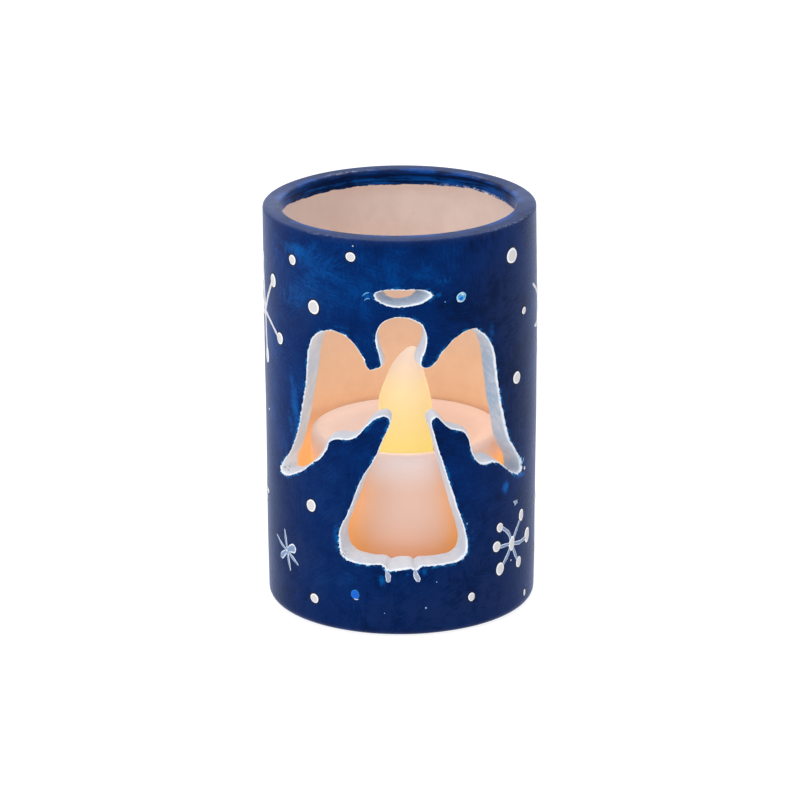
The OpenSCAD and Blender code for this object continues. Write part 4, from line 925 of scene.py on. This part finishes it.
# flame: a hollow moulding on a flange, leaning to a blunt tip
fr = catmull([(5.4, 25.0, 0), (5.35, 26, 0), (5.36, 28.5, 0), (5.36, 31, 0), (5.33, 34, -.1), (5.2, 36.2, -.2), (4.8, 38, -.15), (4.3, 39.6, -.05),
              (3.6, 41.6, .1), (2.72, 43.8, .35), (1.95, 45.3, .7), (1.3, 46.3, 1.05), (.85, 46.85, 1.25), (.35, 47.08, 1.33)], False, 0.4)
outer_f = [(r_, z_, s_) for r_, z_, s_ in fr] + [(0, 47.1, 1.35)]
inner_f = [(0, 35.5, 0), (1.2, 35.2, 0), (2.3, 34.4, 0), (3.1, 33.2, 0), (3.45, 31.5, 0), (3.5, 28, 0), (3.5, 23.6, 0)]
foot_f = [(6.9, 23.6, 0), (7.0, 23.75, 0), (7.0, 24.6, 0), (6.9, 24.75, 0), (5.42, 24.75, 0)]
pf = foot_f + outer_f + inner_f
flame = lathe("flame_lens", [(q[0], q[1]) for q in pf], 64, shift=[q[2] for q in pf])
fm, t, b = material("flame_glow", IOR=1.3)
v = coords(t); fine, med = noise(t, v, 1.6, 3), noise(t, coords(t, (1, 1, 0.35)), 0.35, 3)
zz = Mt(t, "MULTIPLY", N(t, "SeparateXYZ", {0: N(t, "TexCoord").outputs["Object"]}).outputs[2], 1000.0)
zn = Mt(t, "ADD", zz, Mt(t, "MULTIPLY", Mt(t, "SUBTRACT", med, 0.5), 3.0))
g1 = mix(t, ramp(t, zn, 31.0, 38.5), (0.50, 0.47, 0.105), (0.50, 0.46, 0.17))
g2 = mix(t, ramp(t, zn, 37.0, 44.0), g1, (0.50, 0.46, 0.245))
g3 = mix(t, ramp(t, zn, 43.0, 50.5), g2, (0.43, 0.41, 0.39))
t.links.new(g3, b.inputs["Emission Color"])
b.inputs["Emission Strength"].default_value = 1.0
t.links.new(mix(t, ramp(t, med, 0.3, 0.7), (0.56, 0.36, 0.21), (0.53, 0.34, 0.19)), b.inputs["Base Color"])
t.links.new(ramp(t, fine, 0.3, 0.7, 0.34, 0.46), b.inputs["Roughness"])
bump(t, b, fine, 0.02)
flame.data.materials.append(fm); flame.visible_shadow = False
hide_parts("flame"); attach(flame, "candle")

# ------------------------------------------------------------------ the working parts keep their CAD shapes
lib = {
    "candle_plastic": wear("moulded_base", srgb(228, 214, 200), srgb(220, 205, 190), 0.45, 0.12, grain=2.5),
    "lamp_resin": None, "tinned_wire": wear("tinned_wire", srgb(196, 198, 204), srgb(170, 172, 180), 0.3, 0.8, 1.0),
    "white_plastic": wear("white_plastic", srgb(236, 234, 228), srgb(226, 224, 216), 0.5, 0.3),
    "epoxy_blob": wear("epoxy_blob", srgb(16, 16, 18), srgb(26, 25, 26), 0.28, 0.5),
    "resistor_body": wear("resistor_body", srgb(28, 28, 32), srgb(44, 42, 44), 0.5, 1.5),
    "switch_steel": wear("switch_steel", srgb(190, 190, 196), srgb(160, 160, 166), 0.34, 0.9, 1.0),
    "switch_laminate": wear("switch_laminate", srgb(142, 88, 44), srgb(118, 70, 34), 0.6, 0.9),
    "contact_brass": wear("contact_brass", srgb(214, 180, 104), srgb(190, 152, 82), 0.3, 0.7, 1.0),
    "black_plastic": wear("black_plastic", srgb(24, 24, 26), srgb(34, 34, 36), 0.5, 0.6, bumps=0.03),
    "cell_steel": wear("cell_steel", srgb(204, 204, 208), srgb(178, 178, 184), 0.24, 0.25, 1.0, 0.01),
    "screw_steel": wear("screw_steel", srgb(184, 184, 190), srgb(150, 150, 156), 0.32, 1.2, 1.0),
}
lm, t, b = material("led_resin", IOR=1.5, Emission_Strength=2.0)
v = coords(t)
t.links.new(mix(t, ramp(t, noise(t, v, 0.6, 2), 0.3, 0.7), (1.0, 0.50, 0.16), (1.0, 0.62, 0.24)), b.inputs["Emission Color"])
t.links.new(mix(t, ramp(t, noise(t, v, 0.6, 2), 0.3, 0.7), srgb(250, 214, 150), srgb(244, 200, 132)), b.inputs["Base Color"])
t.links.new(ramp(t, noise(t, v, 3, 3), 0.3, 0.7, 0.12, 0.24), b.inputs["Roughness"])
lib["lamp_resin"] = lm
bm_, t, b = material("green_board", IOR=1.5)
v = coords(t); tr = N(t, "TexBrick", {"Vector": coords(t, (1, 1, 1), (0, 0, 0.6)), "Scale": 0.28, "Mortar Size": 0.05}, offset=0.37)
weave = Mt(t, "MULTIPLY", Mt(t, "SINE", Mt(t, "MULTIPLY", N(t, "SeparateXYZ", {0: v}).outputs[0], 9.0)), Mt(t, "SINE", Mt(t, "MULTIPLY", N(t, "SeparateXYZ", {0: v}).outputs[1], 9.0)))
c = mix(t, ramp(t, weave, -0.6, 0.6), srgb(26, 98, 52), srgb(32, 112, 60))
c = mix(t, Mt(t, "MULTIPLY", ramp(t, tr.outputs["Fac"], 0.2, 0.8), 0.5), c, srgb(60, 146, 84))
t.links.new(c, b.inputs["Base Color"]); t.links.new(ramp(t, noise(t, v, 1.5, 3), 0.3, 0.7, 0.24, 0.36), b.inputs["Roughness"])
bump(t, b, weave, 0.01)
lib["board"] = bm_
node_mat = {"led": "lamp_resin", "led_leads": "tinned_wire", "led_spacer": "white_plastic", "circuit_board": "board",
            "flicker_chip": "epoxy_blob", "current_resistor": "resistor_body", "switch_frame": "switch_steel",
            "switch_base": "switch_laminate", "switch_terminals": "tinned_wire", "switch_wiper": "contact_brass",
            "switch_knob": "black_plastic", "coin_cell_can": "cell_steel", "coin_cell_cap": "cell_steel",
            "coin_cell_gasket": "black_plastic", "positive_contact": "contact_brass", "negative_contact": "contact_brass",
            "base_plate": "candle_plastic", "battery_door": "candle_plastic", "base_screws": "screw_steel", "board_screws": "screw_steel"}
for n_, s_ in node_mat.items():
    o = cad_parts[n_]; o.data.materials.clear(); o.data.materials.append(lib[s_])

# ------------------------------------------------------------------ floor and lights
bpy.ops.mesh.primitive_plane_add(size=6, location=(0, 0, -2e-5))
floor = bpy.context.object; floor.name = "floor"
fl, t, b = material("floor", Roughness=0.9, IOR=1.3)
v = coords(t)
t.links.new(mix(t, noise(t, v, 0.02, 2), (0.30, 0.30, 0.30), (0.32, 0.32, 0.32)), b.inputs["Base Color"])
b.inputs["Emission Color"].default_value = (1, 1, 1, 1); b.inputs["Emission Strength"].default_value = 0.84
floor.data.materials.append(fl)

w = D.worlds.new("studio"); scene.world = w; w.use_nodes = True
w.node_tree.nodes["Background"].inputs[0].default_value = (1, 1, 1, 1)
w.node_tree.nodes["Background"].inputs[1].default_value = 0.86


def area(name, loc, target, size, power, colour=(1, 1, 1)):
    l = D.lights.new(name, "AREA"); l.shape = "SQUARE"; l.size = size; l.energy = power; l.color = colour
    o = D.objects.new(name, l); scene.collection.objects.link(o); o.location = loc
    o.rotation_euler = (Vector(target) - Vector(loc)).to_track_quat("-Z", "Y").to_euler()
    return o


area("top_soft", (0, -0.1, 1.3), (0, 0, 0), 1.2, 6.0)
area("left_soft", (-0.9, -0.8, 0.7), (0, 0, 0.04), 0.6, 4.6, (0.90, 0.97, 1.0))
lp = D.lights.new("led_light", "POINT"); lp.energy = 0.0091; lp.color = (1.0, 0.66, 0.28); lp.shadow_soft_size = 0.003
lo = D.objects.new("led_light", lp); scene.collection.objects.link(lo); lo.location = ((VX + 0.2) * MM, 0, (VZ + 35) * MM)
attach(lo, "candle")
# what soaks out through the votive's wall: soft panels standing on it, facing the clay, that lift out with it
for i_, az_ in enumerate((58, -58, 98, -98, 138, -138, 180)):
    q = math.radians(az_); out = Vector((math.sin(q), -math.cos(q), 0))
    l = D.lights.new("side_glow_%d" % i_, "AREA"); l.shape = "RECTANGLE"; l.size, l.size_y = 0.013, 0.018
    l.energy = 0.00048 if abs(az_) < 60 else 0.00064; l.color = (1.0, 0.52, 0.14)
    o = D.objects.new("side_glow_%d" % i_, l); scene.collection.objects.link(o)
    o.location = Vector((VX * MM, 0, (VZ + 17) * MM)) + out * 0.01925
    o.rotation_euler = out.to_track_quat("-Z", "Y").to_euler(); o.visible_camera = False
    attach(o, "candle")
scene.view_settings.view_transform = "Standard"

bpy.context.view_layer.update()
